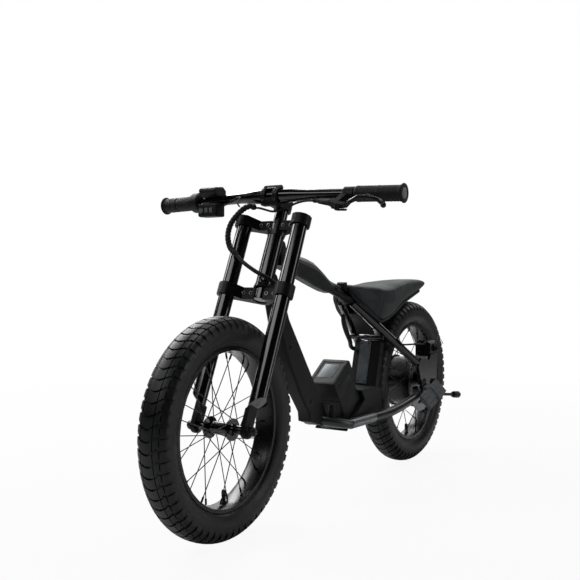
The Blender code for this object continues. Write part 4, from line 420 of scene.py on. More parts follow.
def plateOn(bm, place, width, height, thick, corner):
    # a thin plate with round corners and a soft rim, sunk 0.4 mm
    part = bmesh.new()
    bmesh.ops.create_grid(part, x_segments=1, y_segments=1, size=0.5)
    bmesh.ops.scale(part, vec=(width, height, 1), verts=part.verts)
    rounded(part, part.verts[:], corner, 5, "VERTICES")
    raised = bmesh.ops.extrude_face_region(part, geom=part.faces[:])["geom"]
    lid = [v for v in raised if isinstance(v, bmesh.types.BMVert)]
    bmesh.ops.translate(part, vec=(0, 0, thick), verts=lid)
    bmesh.ops.translate(part, vec=(0, 0, -0.0004), verts=[v for v in part.verts if v not in lid])
    rim = [e for e in part.edges if all(v in lid for v in e.verts) and e.calc_face_angle() > 1.0]
    rounded(part, rim, thick * 0.5, 2)
    addPart(bm, part, place)


def smoothLine(points, share):
    # one smooth curve through the points
    line = []
    for k in range(len(points) - 1):
        before, here, there = points[max(k - 1, 0)], points[k], points[k + 1]
        after = points[min(k + 2, len(points) - 1)]
        handles = here + (there - before) / 6, there - (after - here) / 6
        line += interpolate_bezier(here, *handles, there, share)[:-1]
    return [Vector(p) for p in line] + [Vector(points[-1])]


def spaced(line, marks):
    # the points of a line at the given lengths along it
    found, travelled, k = [], 0.0, 0
    for mark in marks:
        while k < len(line) - 2 and travelled + (line[k + 1] - line[k]).length < mark:
            travelled += (line[k + 1] - line[k]).length
            k += 1
        step = line[k + 1] - line[k]
        found.append(line[k] + step * min(1.0, (mark - travelled) / step.length))
    return found


def lineLength(line):
    return sum((b - a).length for a, b in zip(line, line[1:]))


def bentTube(bm, line, marks, radiusAt, sides):
    # a grid rolled into a tube along the line, with its radius by length and turn
    part = bmesh.new()
    bmesh.ops.create_grid(part, x_segments=len(line) - 1, y_segments=sides, size=0.5)
    across = (line[1] - line[0]).orthogonal().normalized()
    frames = []
    for k, point in enumerate(line):
        ahead = (line[min(k + 1, len(line) - 1)] - line[max(k - 1, 0)]).normalized()
        across = (across - ahead * across.dot(ahead)).normalized()
        frames.append((point, across, ahead.cross(across)))
    for v in part.verts:
        k = round((v.co.x + 0.5) * (len(line) - 1))
        turn = (v.co.y + 0.5) * tau
        point, one, two = frames[k]
        v.co = point + (one * cos(turn) + two * sin(turn)) * radiusAt(marks[k], turn)
    bmesh.ops.remove_doubles(part, verts=part.verts, dist=0.000002)
    bmesh.ops.holes_fill(part, edges=[e for e in part.edges if len(e.link_faces) == 1], sides=0)
    addPart(bm, part, Matrix.Identity(4))


# CAD nodes that only need soft edges and a finish: width of the edge, over how many degrees, and the nodes
dressed = {
    "satinPowderCoat": [
        (0.0022, 40, "down_tube"), (0.0014, 40, "controller_case"),
        (0.0012, 40, "fork_foot_left fork_foot_right"),
        (0.0012, 45, "upper_crown lower_crown stem stem_faceplate"), (0.0008, 45, "main_beam"),
        (0.0007, 45, "brake_lever_body"), (0.0007, 50, "kickstand")],
    "glossBlackPaint": [
        (0.0008, 40, "head_tube steerer"), (0.0007, 40, "fork_leg_left fork_leg_right"),
        (0.0005, 50, "handlebar rail_left rail_right"), (0.0004, 50, "rail_bridge"),
        (0.0008, 50, "dropout_left dropout_right")],
    "blackAnodised": [
        (0.0007, 40, "headset_upper headset_lower"), (0.0006, 50, "brake_lever front_rim rear_rim"),
        (0.001, 45, "brake_caliper")],
    "casePlastic": [
        (0.0016, 40, "battery_case"), (0.0012, 40, "battery_dock splash_guard"), (0.0012, 30, "battery_cap"),
        (0.001, 24, "tank_pad"), (0.0009, 45, "throttle_housing"), (0.0009, 40, "display"),
        (0.0006, 55, "seat_pan"), (0.0005, 50, "switch_box")],
    "greyNylon": [(0.0008, 45, "footrest_left footrest_right"), (0.0003, 45, "power_button")],
    # the cradle tubes take the lighter tones of a painted highlight
    "satinTubeWithPaintedHighlight": [(0.0006, 50, "cradle_left cradle_right")],
    "brushedCover": [(0.001, 40, "controller_cover")],
    "groundSteel": [(0.0003, 60, "brake_rotor")],
    "darkZinc": [(0.0006, 50, "front_axle rear_axle motor_stator caliper_arm")],
    "softRubber": [(0, 50, "lever_cable display_cable caliper_cable motor_loom")],
}


def dressNode(node, finish, width, overAngle):
    bm = copyOf(node)
    if width:
        roundEdges(bm, width, overAngle)
    piece = settle(bm, node + "_dressed", finish, bodyOf(node), keepAngle=37, weighted=True)
    if finish == "softRubber":
        rounder = piece.modifiers.new("roundCable", "SUBSURF")
        rounder.levels = rounder.render_levels = 1
    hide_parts(node)


for finish, groups in dressed.items():
    for width, overAngle, names in groups:
        for node in names.split():
            dressNode(node, finish, width, overAngle)
print("nodes dressed")


# tyres: smooth carcass under three kinds of tread block. Each block has the shares of half a pitch before and
# after its middle, its height, its sides, and its line across the tread as y and shift along the tread
tyrePiece = {
    "outerRadius": 0.2182, "treadRadius": 0.214, "rows": 62, "fill": 0.43, "steps": 124, "draft": 0.0006,
    "edge": 0.0006, "sunk": 0.0008, "crownDrop": 0.0165, "crownHalf": 0.0338, "crownPower": 2.6,
    "crownFrom": 11,
    "profile": [
        (0.0213, 0.153), (0.0213, 0.1594), (0.0226, 0.1607), (0.024, 0.1612), (0.0252, 0.1624),
        (0.0268, 0.1641), (0.0277, 0.1645), (0.0281, 0.1655), (0.0277, 0.166), (0.0302, 0.17),
        (0.0322, 0.1762), (0.0333, 0.183), (0.0334, 0.188), (0.0324, 0.1946), (0.0303, 0.2004),
        (0.0268, 0.2056), (0.0215, 0.2101), (0.014, 0.213), (0.006, 0.2141)],
    "blocks": {
        "centre": (1.0, 1.0, 1.0, (1,), [
            (-0.0125, 0.003), (-0.0085, 0.0008), (-0.003, -0.0012), (0.003, -0.0012), (0.0085, 0.0008),
            (0.0125, 0.003)]),
        "middle": (1.0, 0.9, 1.0, (1, -1), [
            (0.0142, 0.0046), (0.0178, 0.0056), (0.0182, 0.0078), (0.0232, 0.0092)]),
        "shoulder": (0.86, 0.62, 0.9, (1, -1), [
            (0.0248, 0.01), (0.0285, 0.0104), (0.0312, 0.0106), (0.033, 0.0108)])}}


def carcassRadius(y, crown):
    far = abs(y)
    for (y0, r0), (y1, r1) in zip(crown, crown[1:]):
        if y1 <= far <= y0:
            return r0 + (r1 - r0) * (y0 - far) / (y0 - y1)
    return crown[-1][1] if far < crown[-1][0] else crown[0][1]


def blockOn(bm, setup, stations, height):
    # a strip across the tread from y, front and back at each station, raised and drafted
    foot = [(bm.verts.new((front, y, 0)), bm.verts.new((back, y, 0))) for y, front, back in stations]
    floor = [bm.faces.new((a[0], a[1], b[1], b[0])) for a, b in zip(foot, foot[1:])]
    raised = bmesh.ops.extrude_face_region(bm, geom=floor)["geom"]
    top = [v for v in raised if isinstance(v, bmesh.types.BMVert)]
    centre = sum((v.co for v in top), Vector()) / len(top)
    for v in top:
        v.co.x -= copysign(setup["draft"], v.co.x - centre.x)
        v.co.z = height
    topFaces = [f for f in raised if isinstance(f, bmesh.types.BMFace)]
    rim = {e for f in topFaces for e in f.edges if sum(g in topFaces for g in e.link_faces) == 1}
    corners = top + [v for pair in foot for v in pair]
    bmesh.ops.recalc_face_normals(bm, faces=list({f for v in corners for f in v.link_faces}))
    rounded(bm, list(rim), setup["edge"], 1)


def treadRow(setup):
    bm = bmesh.new()
    half = tau * setup["treadRadius"] / setup["rows"] * setup["fill"]
    for front, back, height, hands, line in setup["blocks"].values():
        for hand in hands:
            stations = [(hand * y, shift - half * front, shift + half * back) for y, shift in line]
            blockOn(bm, setup, stations, height)
    return bm


def bendOnto(setup, co, centre, turn):
    base = carcassRadius(co.y, setup["profile"][setup["crownFrom"]:]) - setup["sunk"]
    # the top of the tread follows a crown of its own
    far = abs(co.y) / setup["crownHalf"]
    crown = setup["outerRadius"] - setup["crownDrop"] * far ** setup["crownPower"]
    lift = base + (crown - base) * co.z if co.z > 0 else base
    angle = turn + co.x / setup["treadRadius"]
    return centre + Vector((cos(angle) * lift, co.y, sin(angle) * lift))


def makeTyre(name, node, centre, setup):
    bm = bmesh.new()
    outline = setup["profile"]
    line = outline + [(-y, r) for y, r in reversed(outline)]
    ring = [bm.verts.new(centre + Vector((r, y, 0))) for y, r in line]
    edges = [bm.edges.new((a, b)) for a, b in zip(ring, ring[1:] + ring[:1])]
    bmesh.ops.spin(bm, geom=ring + edges, cent=centre, axis=(0, 1, 0), angle=tau,
                   steps=setup["steps"], use_merge=True)
    bmesh.ops.remove_doubles(bm, verts=bm.verts, dist=0.00001)
    bmesh.ops.recalc_face_normals(bm, faces=bm.faces)
    row = treadRow(setup)
    rowMesh = bpy.data.meshes.new("treadRow")
    row.to_mesh(rowMesh)
    row.free()
    flat = [v.co.copy() for v in rowMesh.vertices]
    for k in range(setup["rows"]):
        turn = tau * k / setup["rows"]
        for v, co in zip(rowMesh.vertices, flat):
            v.co = bendOnto(setup, co, centre, turn)
        bm.from_mesh(rowMesh)
    bpy.data.meshes.remove(rowMesh)
    bm.normal_update()
    piece = settle(bm, name, "tyreRubber", bodyOf(node), keepAngle=40)
    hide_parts(node)


makeTyre("frontTyre", "front_tyre", frontAxle, tyrePiece)
makeTyre("rearTyre", "rear_tyre", rearAxle, tyrePiece)
print("tyres ready")


# wheels: hub shells, round spokes with nipples, and valves; lean and turns in radians
spokePiece = {
    "count": 28, "firstTurn": 0.06, "wire": 0.001, "rimReach": 0.147, "rimSide": 0.005,
    "nippleRadius": 0.0021, "nippleLength": 0.012, "nippleEdge": 0.0015, "cross": 0.0012,
    "rootDepth": 0.003, "cutAbove": 0.004}
hubPieces = {
    "front": {
        "centre": frontAxle, "finish": "glossBlackPaint", "edge": 0.0004, "flange": 0.022,
        "flangeSide": 0.027, "lean": 0.95},
    "rear": {
        "centre": rearAxle, "finish": "blackAnodised", "edge": 0.0006, "flange": 0.0705,
        "flangeSide": 0.0305, "lean": 0.42}}
valvePiece = {
    "turn": radians(-93), "seatRadius": 0.1474,
    "line": [
        (0, -0.001), (0.0056, -0.001), (0.0056, 0.0016), (0.0048, 0.0026), (0.0034, 0.003), (0.0034, 0.012),
        (0.0044, 0.0125), (0.0046, 0.0135), (0.0044, 0.0225), (0.0036, 0.025), (0.0024, 0.0262),
        (0, 0.0265)]}


def makeHub(end, setup):
    # the CAD hub with its spokes cut off and its flange closed
    node, centre, flange = end + "_hub", setup["centre"], setup["flange"]
    bm = copyOf(node)
    reach = flange + spokePiece["cutAbove"]
    spokes = [v for v in bm.verts if hypot(v.co.x - centre.x, v.co.z - centre.z) > reach]
    bmesh.ops.delete(bm, geom=spokes, context="VERTS")
    bmesh.ops.holes_fill(bm, edges=[e for e in bm.edges if len(e.link_faces) == 1], sides=0)
    roundEdges(bm, setup["edge"], 60)
    shell = settle(bm, end + "HubShell", setup["finish"], bodyOf(node), keepAngle=37, weighted=True)
    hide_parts(node)


def makeSpokes(end, hub, setup):
    bm = bmesh.new()
    wire, nipple = setup["wire"], setup["nippleRadius"]
    for k in range(setup["count"]):
        hand = 1 if k % 2 else -1
        leading = 1 if (k // 2) % 2 else -1
        rimTurn = tau * k / setup["count"] + setup["firstTurn"]
        low = hub["centre"] + radial(rimTurn + leading * hub["lean"]) * (hub["flange"] - setup["rootDepth"])
        low.y = hand * (hub["flangeSide"] + leading * setup["cross"])
        high = hub["centre"] + radial(rimTurn) * setup["rimReach"]
        high.y = hand * (setup["rimSide"] + leading * setup["cross"])
        reach = (high - low).length
        neck = reach - setup["nippleLength"]
        line = [(0, 0), (wire, 0), (wire, neck), (nipple * 0.8, neck), (nipple, neck + setup["nippleEdge"]),
                (nipple, reach), (0, reach)]
        turned(bm, line, standing(low, high - low), steps=8)
    settle(bm, end + "Spokes", "blackAnodised", bodyOf(end + "_hub"), keepAngle=50)


def makeValve(name, node, centre, setup):
    out = radial(setup["turn"])
    place = standing(centre + out * setup["seatRadius"], -out, side)
    turnedPiece(name, "casePlastic", node, 30, [(setup["line"], place)], steps=16)


for end, hub in hubPieces.items():
    makeHub(end, hub)
    makeSpokes(end, hub, spokePiece)
    makeValve(end + "Valve", end + "_rim", hub["centre"], valvePiece)
print("wheels laced")


crownBase = Vector((0.29156, 0, 0.45003))
headUp, headOut = Vector((-0.41723, 0, 0.9088)), Vector((0.9088, 0, 0.41723))


def onFork(along, out, y):
    return crownBase + headUp * along + headOut * out + side * y


def surfaceOf(node):
    bm = copyOf(node)
    tree = BVHTree.FromBMesh(bm)
    bm.free()
    return tree


# screws: each set has the node that carries it, its finish, the head's radius, height and socket, and the
# places with their headings
facePlate = {"centre": (0.2348, 0, 0.68), "reach": 0.015, "castFrom": 0.08}
coverEnd = {"centre": (-0.1723, 0, 0.2915), "up": (-0.28, 0, 0.96), "out": (0.96, 0, 0.28)}
# dark discs sunk in the crown bolts' sockets: painted shade of the socket recess
shadedSocketDisc = [(0, 0.0012), (0.0026, 0.0012), (0.0031, 0.001), (0.0031, 0.0002), (0, 0.0002)]
screwSets = {
    "crownBolts": ("upper_crown", "brightZinc", (0.0044, 0.002, 0.0032), [
        (onFork(along, 0.01, y), headOut) for along in (0.1822, 0.02525)
        for y in (-0.0375, -0.019, 0.019, 0.0375)]),
    "downTubeBolts": ("down_tube", "darkZinc", (0.0052, 0.002, 0.0028), [
        (Vector((x, hand * 0.017, z)), side * hand) for x, z in ((0.1915, 0.3591), (0.1068, 0.2291))
        for hand in (1, -1)]),
    "rotorBolts": ("brake_rotor", "darkZinc", (0.0038, 0.0018, 0.002), [
        (rearAxle + radial(tau * k / 6) * 0.019 + side * 0.0489, side) for k in range(6)]),
    "motorCoverBolts": ("rear_hub", "darkZinc", (0.004, 0.002, 0.0021), [
        (rearAxle + radial(tau * (k + 0.5) / 6) * 0.058 + side * 0.04 * hand, side * hand)
        for k in range(6) for hand in (1, -1)]),
    "coverScrews": ("controller_cover", "darkZinc", (0.0024, 0.0009, 0.0013), [
        (Vector(coverEnd["centre"]) + Vector(coverEnd["up"]) * up + side * y, Vector(coverEnd["out"]))
        for up in (-0.0475, 0.0475) for y in (-0.01, 0.01)]),
    "faceplateBolts": ("stem_faceplate", "darkZinc", (0.0036, 0.0026, 0.0019), []),
}


def laidOn(node, point, heading, castFrom):
    hit = surfaceOf(node).ray_cast(point + heading * castFrom, -heading)[0]
    return [(hit, heading)] if hit else []


for along in (-facePlate["reach"], facePlate["reach"]):
    for y in (-facePlate["reach"], facePlate["reach"]):
        spot = Vector(facePlate["centre"]) + headUp * along + side * y
        screwSets["faceplateBolts"][3].extend(laidOn("stem_faceplate", spot, headOut, facePlate["castFrom"]))
for name, (node, finish, size, places) in screwSets.items():
    turnedPiece(name, finish, node, 30, [(screwLine(*size), standing(*spot)) for spot in places])
# dark discs in the hex sockets, as painted shade inside them
turnedPiece("boltSocketShadeDiscs", "softRubber", "upper_crown", 30,
            [(shadedSocketDisc, standing(*spot)) for spot in screwSets["crownBolts"][3]], steps=6)
print("screws placed:", sum(len(places) for node, finish, size, places in screwSets.values()))


# fork: pale plugs on the sloping ends of the legs
legPlug = {
    "along": -0.2111, "out": 0.0235, "y": 0.07, "slope": radians(40), "oval": 1.306,
    "line": [
        (0, 0.0006), (0.0017, 0.0006), (0.0022, 0.0016), (0.0146, 0.0016), (0.0156, 0.0011),
        (0.0158, -0.001), (0, -0.001)]}


def makeLegPlugs(setup):
    slope, parts = setup["slope"], []
    for hand in (1, -1):
        heading = side * hand * sin(slope) - headUp * cos(slope)
        length = side * hand * cos(slope) + headUp * sin(slope)
        place = onFork(setup["along"], setup["out"], hand * setup["y"])
        parts.append((setup["line"], standing(place, heading, length)))
    turnedPiece("legEndPlugs", "paleNylon", "fork_leg_left", 30, parts, steps=32, oval=setup["oval"])


makeLegPlugs(legPlug)


# grips: moulded sleeves with a diamond knurl and a plug in the bar's end. Each shape has its hand, its
# knurled zones along the bar, and its outline as radius and height
gripPiece = {
    "place": (0.229757, 0.2149, 0.675604), "lean": (-0.03576, 0.998871, -0.031265), "steps": 72,
    "knurl": 0.0006, "knurlFrom": 0.015, "fade": 0.001, "turns": 12, "pitch": 0.0072, "stepLength": 0.0012,
    "plug": [
        (0, 0.0851), (0.0016, 0.0851), (0.0022, 0.0857), (0.0108, 0.0857), (0.0116, 0.0853),
        (0.0118, 0.0846), (0, 0.0846)]}
gripEnd = [(0.0165, 0.0767), (0.0165, 0.0817), (0.0195, 0.0829), (0.0195, 0.0848), (0.0187, 0.0857),
           (0.0175, 0.086), (0.0128, 0.086), (0.0122, 0.085), (0, 0.085), (0, 0.0797), (0.0114, 0.0797)]
gripShapes = {
    "grip_left": (1, [(-0.0095, 0.0305), (0.035, 0.0748)], [
        (0.0114, -0.0179), (0.0155, -0.0179), (0.0165, -0.0149), (0.0165, -0.0105), (0.0158, -0.0095),
        (0.0158, 0.0305), (0.0165, 0.0315), (0.0165, 0.0338), (0.0158, 0.035), (0.0158, 0.0748)] + gripEnd),
    "grip_right": (-1, [(0.0524, 0.0616), (0.066, 0.0748)], [
        (0.0114, 0.0444), (0.0155, 0.0444), (0.0165, 0.047), (0.0165, 0.0514), (0.0158, 0.0524),
        (0.0158, 0.0616), (0.0165, 0.0626), (0.0165, 0.065), (0.0158, 0.066), (0.0158, 0.0748)] + gripEnd),
    "throttle_sleeve": (-1, [(0.006, 0.0422)], [
        (0.0114, 0), (0.0178, 0), (0.0185, 0.0007), (0.0185, 0.003), (0.0166, 0.0045), (0.016, 0.006),
        (0.016, 0.0422), (0.0152, 0.0437), (0.0114, 0.0437)]),
}


def makeGrip(node, hand, zones, outline, setup):
    line = []
    for (r0, h0), (r1, h1) in zip(outline, outline[1:]):
        # a knurled run is cut into short steps
        steps = round(abs(h1 - h0) / setup["stepLength"]) if (h0, h1) in zones else 1
        line += [(r0 + (r1 - r0) * k / steps, h0 + (h1 - h0) * k / steps) for k in range(steps)]
    line.append(outline[-1])
    bm = bmesh.new()
    turned(bm, line, Matrix.Identity(4), steps=setup["steps"], loop=True)
    for v in bm.verts:
        inside = [min(v.co.z - low, high - v.co.z) for low, high in zones if low < v.co.z < high]
        reach = hypot(v.co.x, v.co.y)
        if inside and reach > setup["knurlFrom"]:
            turn = atan2(v.co.y, v.co.x) * setup["turns"]
            wave = v.co.z / setup["pitch"] * tau
            diamond = abs(cos((turn + wave) / 2) * cos((turn - wave) / 2))
            grow = 1 + setup["knurl"] * diamond * min(1.0, inside[0] / setup["fade"]) / reach
            v.co.x *= grow
            v.co.y *= grow
    place = standing(mirrored(setup["place"], hand), mirrored(setup["lean"], hand))
    bmesh.ops.transform(bm, matrix=place, verts=bm.verts)
    bmesh.ops.recalc_face_normals(bm, faces=bm.faces)
    piece = settle(bm, node + "_moulded", "softRubber", bodyOf(node), keepAngle=50)
    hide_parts(node)
    return place


for node, (hand, zones, outline) in gripShapes.items():
    place = makeGrip(node, hand, zones, outline, gripPiece)
    if node != "throttle_sleeve":
        turnedPiece(node + "_plug", "paleNylon", node, 30, [(gripPiece["plug"], place)], steps=28)
print("grips moulded")


# bar fittings: screen and keys, lever ball, cable barrel. A plate has its width, height, thickness and corner
barFittings = {
    "screenPlace": (0.2408, -0.1577, 0.7071), "screenHeading": (0.09, 0, 1),
    "screen": (0.034, 0.017, 0.0006, 0.003),
    "keyPlaces": [(0.2703, -0.151, 0.6552), (0.2703, -0.1385, 0.6552)],
    "key": (0.0085, 0.011, 0.0007, 0.002), "ballPlace": (0.288, 0.2842, 0.6468), "ball": 0.0056,
    "barrelPlace": (0.249, 0.1115, 0.6666), "barrelHeading": (-0.0024, -0.012, 0.0009),
    "barrel": [
        (0, -0.0045), (0.0036, -0.0045), (0.0043, -0.0036), (0.0043, 0.0036), (0.0036, 0.0045),
        (0.003, 0.006), (0.0026, 0.0105), (0, 0.0105)]}


def makeBarFittings(setup):
    ahead = (1, 0, 0)
    bm = bmesh.new()
    plateOn(bm, standing(setup["screenPlace"], setup["screenHeading"], ahead), *setup["screen"])
    settle(bm, "displayScreen", "screenGlass", bodyOf("display"), keepAngle=30)
    bm = bmesh.new()
    for place in setup["keyPlaces"]:
        plateOn(bm, standing(place, ahead), *setup["key"])
    settle(bm, "switchKeys", "greyNylon", bodyOf("switch_box"), keepAngle=30)
    ball = [(setup["ball"] * sin(pi * k / 12), -setup["ball"] * cos(pi * k / 12))
            for k in range(13)]
    turnedPiece("leverBall", "blackAnodised", "brake_lever", 60,
                [(ball, standing(setup["ballPlace"], side))], steps=24)
    barrel = [(setup["barrel"], standing(setup["barrelPlace"], setup["barrelHeading"]))]
    turnedPiece("cableBarrel", "blackAnodised", "brake_lever_body", 20, barrel, steps=14)


# battery: blank label foil on the lid, blank name places on its sides, vent dots along the edge
batteryTrim = {
    "out": (0.833, 0, -0.553), "up": (0.553, 0, 0.833), "lid": (0.0029, 0, 0.2861), "labelBack": 0.002,
    "label": (0.04, 0.048, 0.0004, 0.003), "namePlace": (-0.0109, 0.037, 0.2653),
    "name": (0.056, 0.02, 0.0005, 0.0035), "vents": 9, "ventPitch": 0.006, "ventUp": 0.001,
    "ventSide": 0.0315, "vent": [(0, 0.0004), (0.0009, 0.0003), (0.0012, -0.0004), (0, -0.0004)]}


def makeBatteryTrim(setup):
    packOut, packUp, lid = (Vector(setup[k]) for k in ("out", "up", "lid"))
    bm = bmesh.new()
    plateOn(bm, standing(lid - packOut * setup["labelBack"], packUp, packOut), *setup["label"])
    settle(bm, "blankLabel", "brushedCover", bodyOf("battery_cap"), keepAngle=30)
    bm = bmesh.new()
    middle = (setup["vents"] - 1) / 2
    for hand in (1, -1):
        plateOn(bm, standing(mirrored(setup["namePlace"], hand), side * hand, packUp), *setup["name"])
        for k in range(setup["vents"]):
            spot = lid + packOut * (setup["ventPitch"] * (k - middle)) + packUp * setup["ventUp"]
            turned(bm, setup["vent"], standing(spot + side * hand * setup["ventSide"], packUp), steps=10)
    settle(bm, "namePlacesAndVents", "casePlastic", bodyOf("battery_cap"), keepAngle=30)


# footrests: studs on the two treads of each, in rows of four by two
studPiece = {
    "along": (0.9455, 0, -0.3256), "out": (0.19, 0.82, 0.54), "alongPitch": 0.0125, "acrossPitch": 0.015,
    "treads": [(-0.3252, 0.1164, 0.1872), (-0.3823, 0.1164, 0.2068)],
    "stud": [(0, 0.0012), (0.0015, 0.0012), (0.0022, -0.0004), (0, -0.0004)]}


def makeStuds(name, hand, setup):
    out = mirrored(setup["out"], hand).normalized()
    along = Vector(setup["along"])
    across = out.cross(along).normalized()
    parts = []
    for tread in setup["treads"]:
        for i in (-1.5, -0.5, 0.5, 1.5):
            for j in (-0.5, 0.5):
                shift = along * (i * setup["alongPitch"]) + across * (j * setup["acrossPitch"])
                parts.append((setup["stud"], standing(mirrored(tread, hand) + shift, out)))
    turnedPiece(name + "_studs", "greyNylon", name, 40, parts, steps=10)


# cradle: alloy sleeves on the straight front of both tubes, and a ribbed cable boot behind the down tube
cradleTrim = {
    "front": (-0.002, 0.055, 0.1662), "rear": (-0.118, 0.0557, 0.16485), "radius": 0.012, "chamfer": 0.0008,
    "bootFoot": (0.0389, 0.029, 0.18), "bootLength": 0.037, "bootRadius": 0.0082, "bootNeck": 0.78,
    "ribs": 7, "ribFrom": 0.35, "ribTo": 0.65}


def makeSleeves(setup):
    parts = []
    for hand in (1, -1):
        front, rear = mirrored(setup["front"], hand), mirrored(setup["rear"], hand)
        reach = (rear - front).length
        radius, chamfer = setup["radius"], setup["chamfer"]
        line = [(0, 0), (radius - chamfer, 0), (radius, chamfer), (radius, reach - chamfer),
                (radius - chamfer, reach), (0, reach)]
        parts.append((line, standing(front, rear - front)))
    turnedPiece("cradleSleeves", "satinAlloy", "cradle_left", 40, parts, steps=32)


def makeBoot(setup):
    pitch = setup["bootLength"] / setup["ribs"]
    radius = setup["bootRadius"]
    neck = radius * setup["bootNeck"]
    line = [(0, 0)]
    for k in range(setup["ribs"]):
        line += [(neck, pitch * k), (radius, pitch * (k + setup["ribFrom"])),
                 (radius, pitch * (k + setup["ribTo"]))]
    line += [(neck, setup["bootLength"]), (0, setup["bootLength"])]
    turnedPiece("cableBoot", "softRubber", "battery_dock", 50,
                [(line, standing(setup["bootFoot"], (0, 0, 1), side))])


# brake caliper: guide bolts, pivot bolt and barrel on the body, coil spring and wire tail on its arm
caliperTrim = {
    "boltPlaces": [(-0.4384, 0.05, 0.3302), (-0.4104, 0.05, 0.3302)], "bolt": (0.0042, 0.0026, 0.0022),
    "pivot": (-0.428, 0.089, 0.3112), "pinReach": 0.0015, "pivotBolt": (0.0042, 0.0032, 0.002),
    "barrelPlace": (-0.4029, 0.0683, 0.324), "barrelHeading": (1, 0, 0.08),
    "barrel": [
        (0, -0.001), (0.004, -0.001), (0.0044, 0), (0.0044, 0.006), (0.0032, 0.007), (0.0032, 0.012),
        (0, 0.012)],
    "wire": 0.0007, "coil": 0.0062, "coilFrom": 0.0008, "coilLength": 0.004, "coilTurns": 3.5,
    "coilSteps": 70, "tailEnd": 1.8,
    "tail": [(-0.44, 0.088, 0.333), (-0.45, 0.089, 0.3336), (-0.464, 0.09, 0.329), (-0.472, 0.0905, 0.32)]}


def makeCaliperTrim(setup):
    bm = bmesh.new()
    for place in setup["boltPlaces"]:
        turned(bm, screwLine(*setup["bolt"]), standing(place, (0, 0, 1), (1, 0, 0)), steps=20)
    turned(bm, setup["barrel"], standing(setup["barrelPlace"], setup["barrelHeading"]), steps=14)
    pivot = Vector(setup["pivot"])
    turned(bm, screwLine(*setup["pivotBolt"]), standing(pivot + side * setup["pinReach"], side), steps=20)
    settle(bm, "caliperBoltsAndBarrel", "darkZinc", bodyOf("brake_caliper"), keepAngle=30)
    bm = bmesh.new()
    steps, wire = setup["coilSteps"], setup["wire"]
    coil = [pivot + radial(tau * setup["coilTurns"] * k / steps) * setup["coil"]
            + side * (setup["coilFrom"] + setup["coilLength"] * k / steps) for k in range(steps + 1)]
    bentTube(bm, coil, range(steps + 1), lambda k, turn: wire, 6)
    tail = smoothLine([Vector(p) for p in setup["tail"]], 8)
    # the last three points carry the crimped end
    bentTube(bm, tail, range(len(tail)),
             lambda k, turn: wire * (setup["tailEnd"] if k > len(tail) - 4 else 1.0), 6)
    settle(bm, "caliperArmSpringAndTail", "darkZinc", bodyOf("caliper_arm"), keepAngle=50)


makeBarFittings(barFittings)
makeBatteryTrim(batteryTrim)
makeStuds("footrest_left", 1, studPiece)
makeStuds("footrest_right", -1, studPiece)
makeSleeves(cradleTrim)
makeBoot(cradleTrim)
makeCaliperTrim(caliperTrim)
print("bar fittings, battery, footrests, cradle and caliper trimmed")


# seat: foam cushion in grained vinyl, blown up a little so the cover is taut, sewn along its upper edge
seatPiece = {
    "voxel": 0.0042, "frames": 20, "cap": 0.0016, "smoothing": 3,
    "cloth": {
        "quality": 5, "mass": 0.3, "tension_stiffness": 90.0, "compression_stiffness": 90.0,
        "shear_stiffness": 45.0, "bending_stiffness": 8.0, "use_pressure": True,
        "uniform_pressure_force": 4.0},
    "seamWidth": 0.0062, "seamDepth": 0.0015, "creaseShare": 1.3, "piping": 0.0013, "pipingSteps": 110,
    "upperEdge": [
        (-0.0718, 0.018, 0.4852), (-0.0898, 0.033, 0.4819), (-0.1155, 0.047, 0.4787),
        (-0.1449, 0.072, 0.4742), (-0.1688, 0.075, 0.4727), (-0.2113, 0.073, 0.4757),
        (-0.2684, 0.064, 0.4832), (-0.3358, 0.053, 0.4877), (-0.3898, 0.046, 0.4897),
        (-0.4678, 0.036, 0.4892), (-0.502, 0.027, 0.4862), (-0.5193, 0.018, 0.4812)],
    "sideCrease": [(-0.1449, 0.072, 0.4742), (-0.1449, 0.07, 0.4472), (-0.15, 0.056, 0.415)]}


def nearest(point, line):
    best = 1.0
    for a, b in zip(line, line[1:]):
        run = b - a
        share = max(0.0, min(1.0, (point - a).dot(run) / run.length_squared))
        best = min(best, (point - a - run * share).length)
    return best


def evaluated(piece):
    mesh = bpy.data.meshes.new_from_object(piece.evaluated_get(bpy.context.evaluated_depsgraph_get()))
    piece.modifiers.clear()
    return mesh


def blowUp(piece, setup):
    # the cover swells over the foam, and no point of it moves further than the cap
    scene = bpy.context.scene
    before = [v.co.copy() for v in piece.data.vertices]
    cover = piece.modifiers.new("cover", "CLOTH")
    for key, value in setup["cloth"].items():
        setattr(cover.settings, key, value)
    cover.settings.effector_weights.gravity = 0
    cover.collision_settings.use_self_collision = False
    cover.point_cache.frame_start = 1
    cover.point_cache.frame_end = setup["frames"]
    for number in range(1, setup["frames"] + 1):
        scene.frame_set(number)
    swollen = evaluated(piece)
    for vertex, start, moved in zip(piece.data.vertices, before, swollen.vertices):
        shift = moved.co - start
        if shift.length > setup["cap"]:
            shift *= setup["cap"] / shift.length
        vertex.co = start + shift
    bpy.data.meshes.remove(swollen)
    scene.frame_set(1)


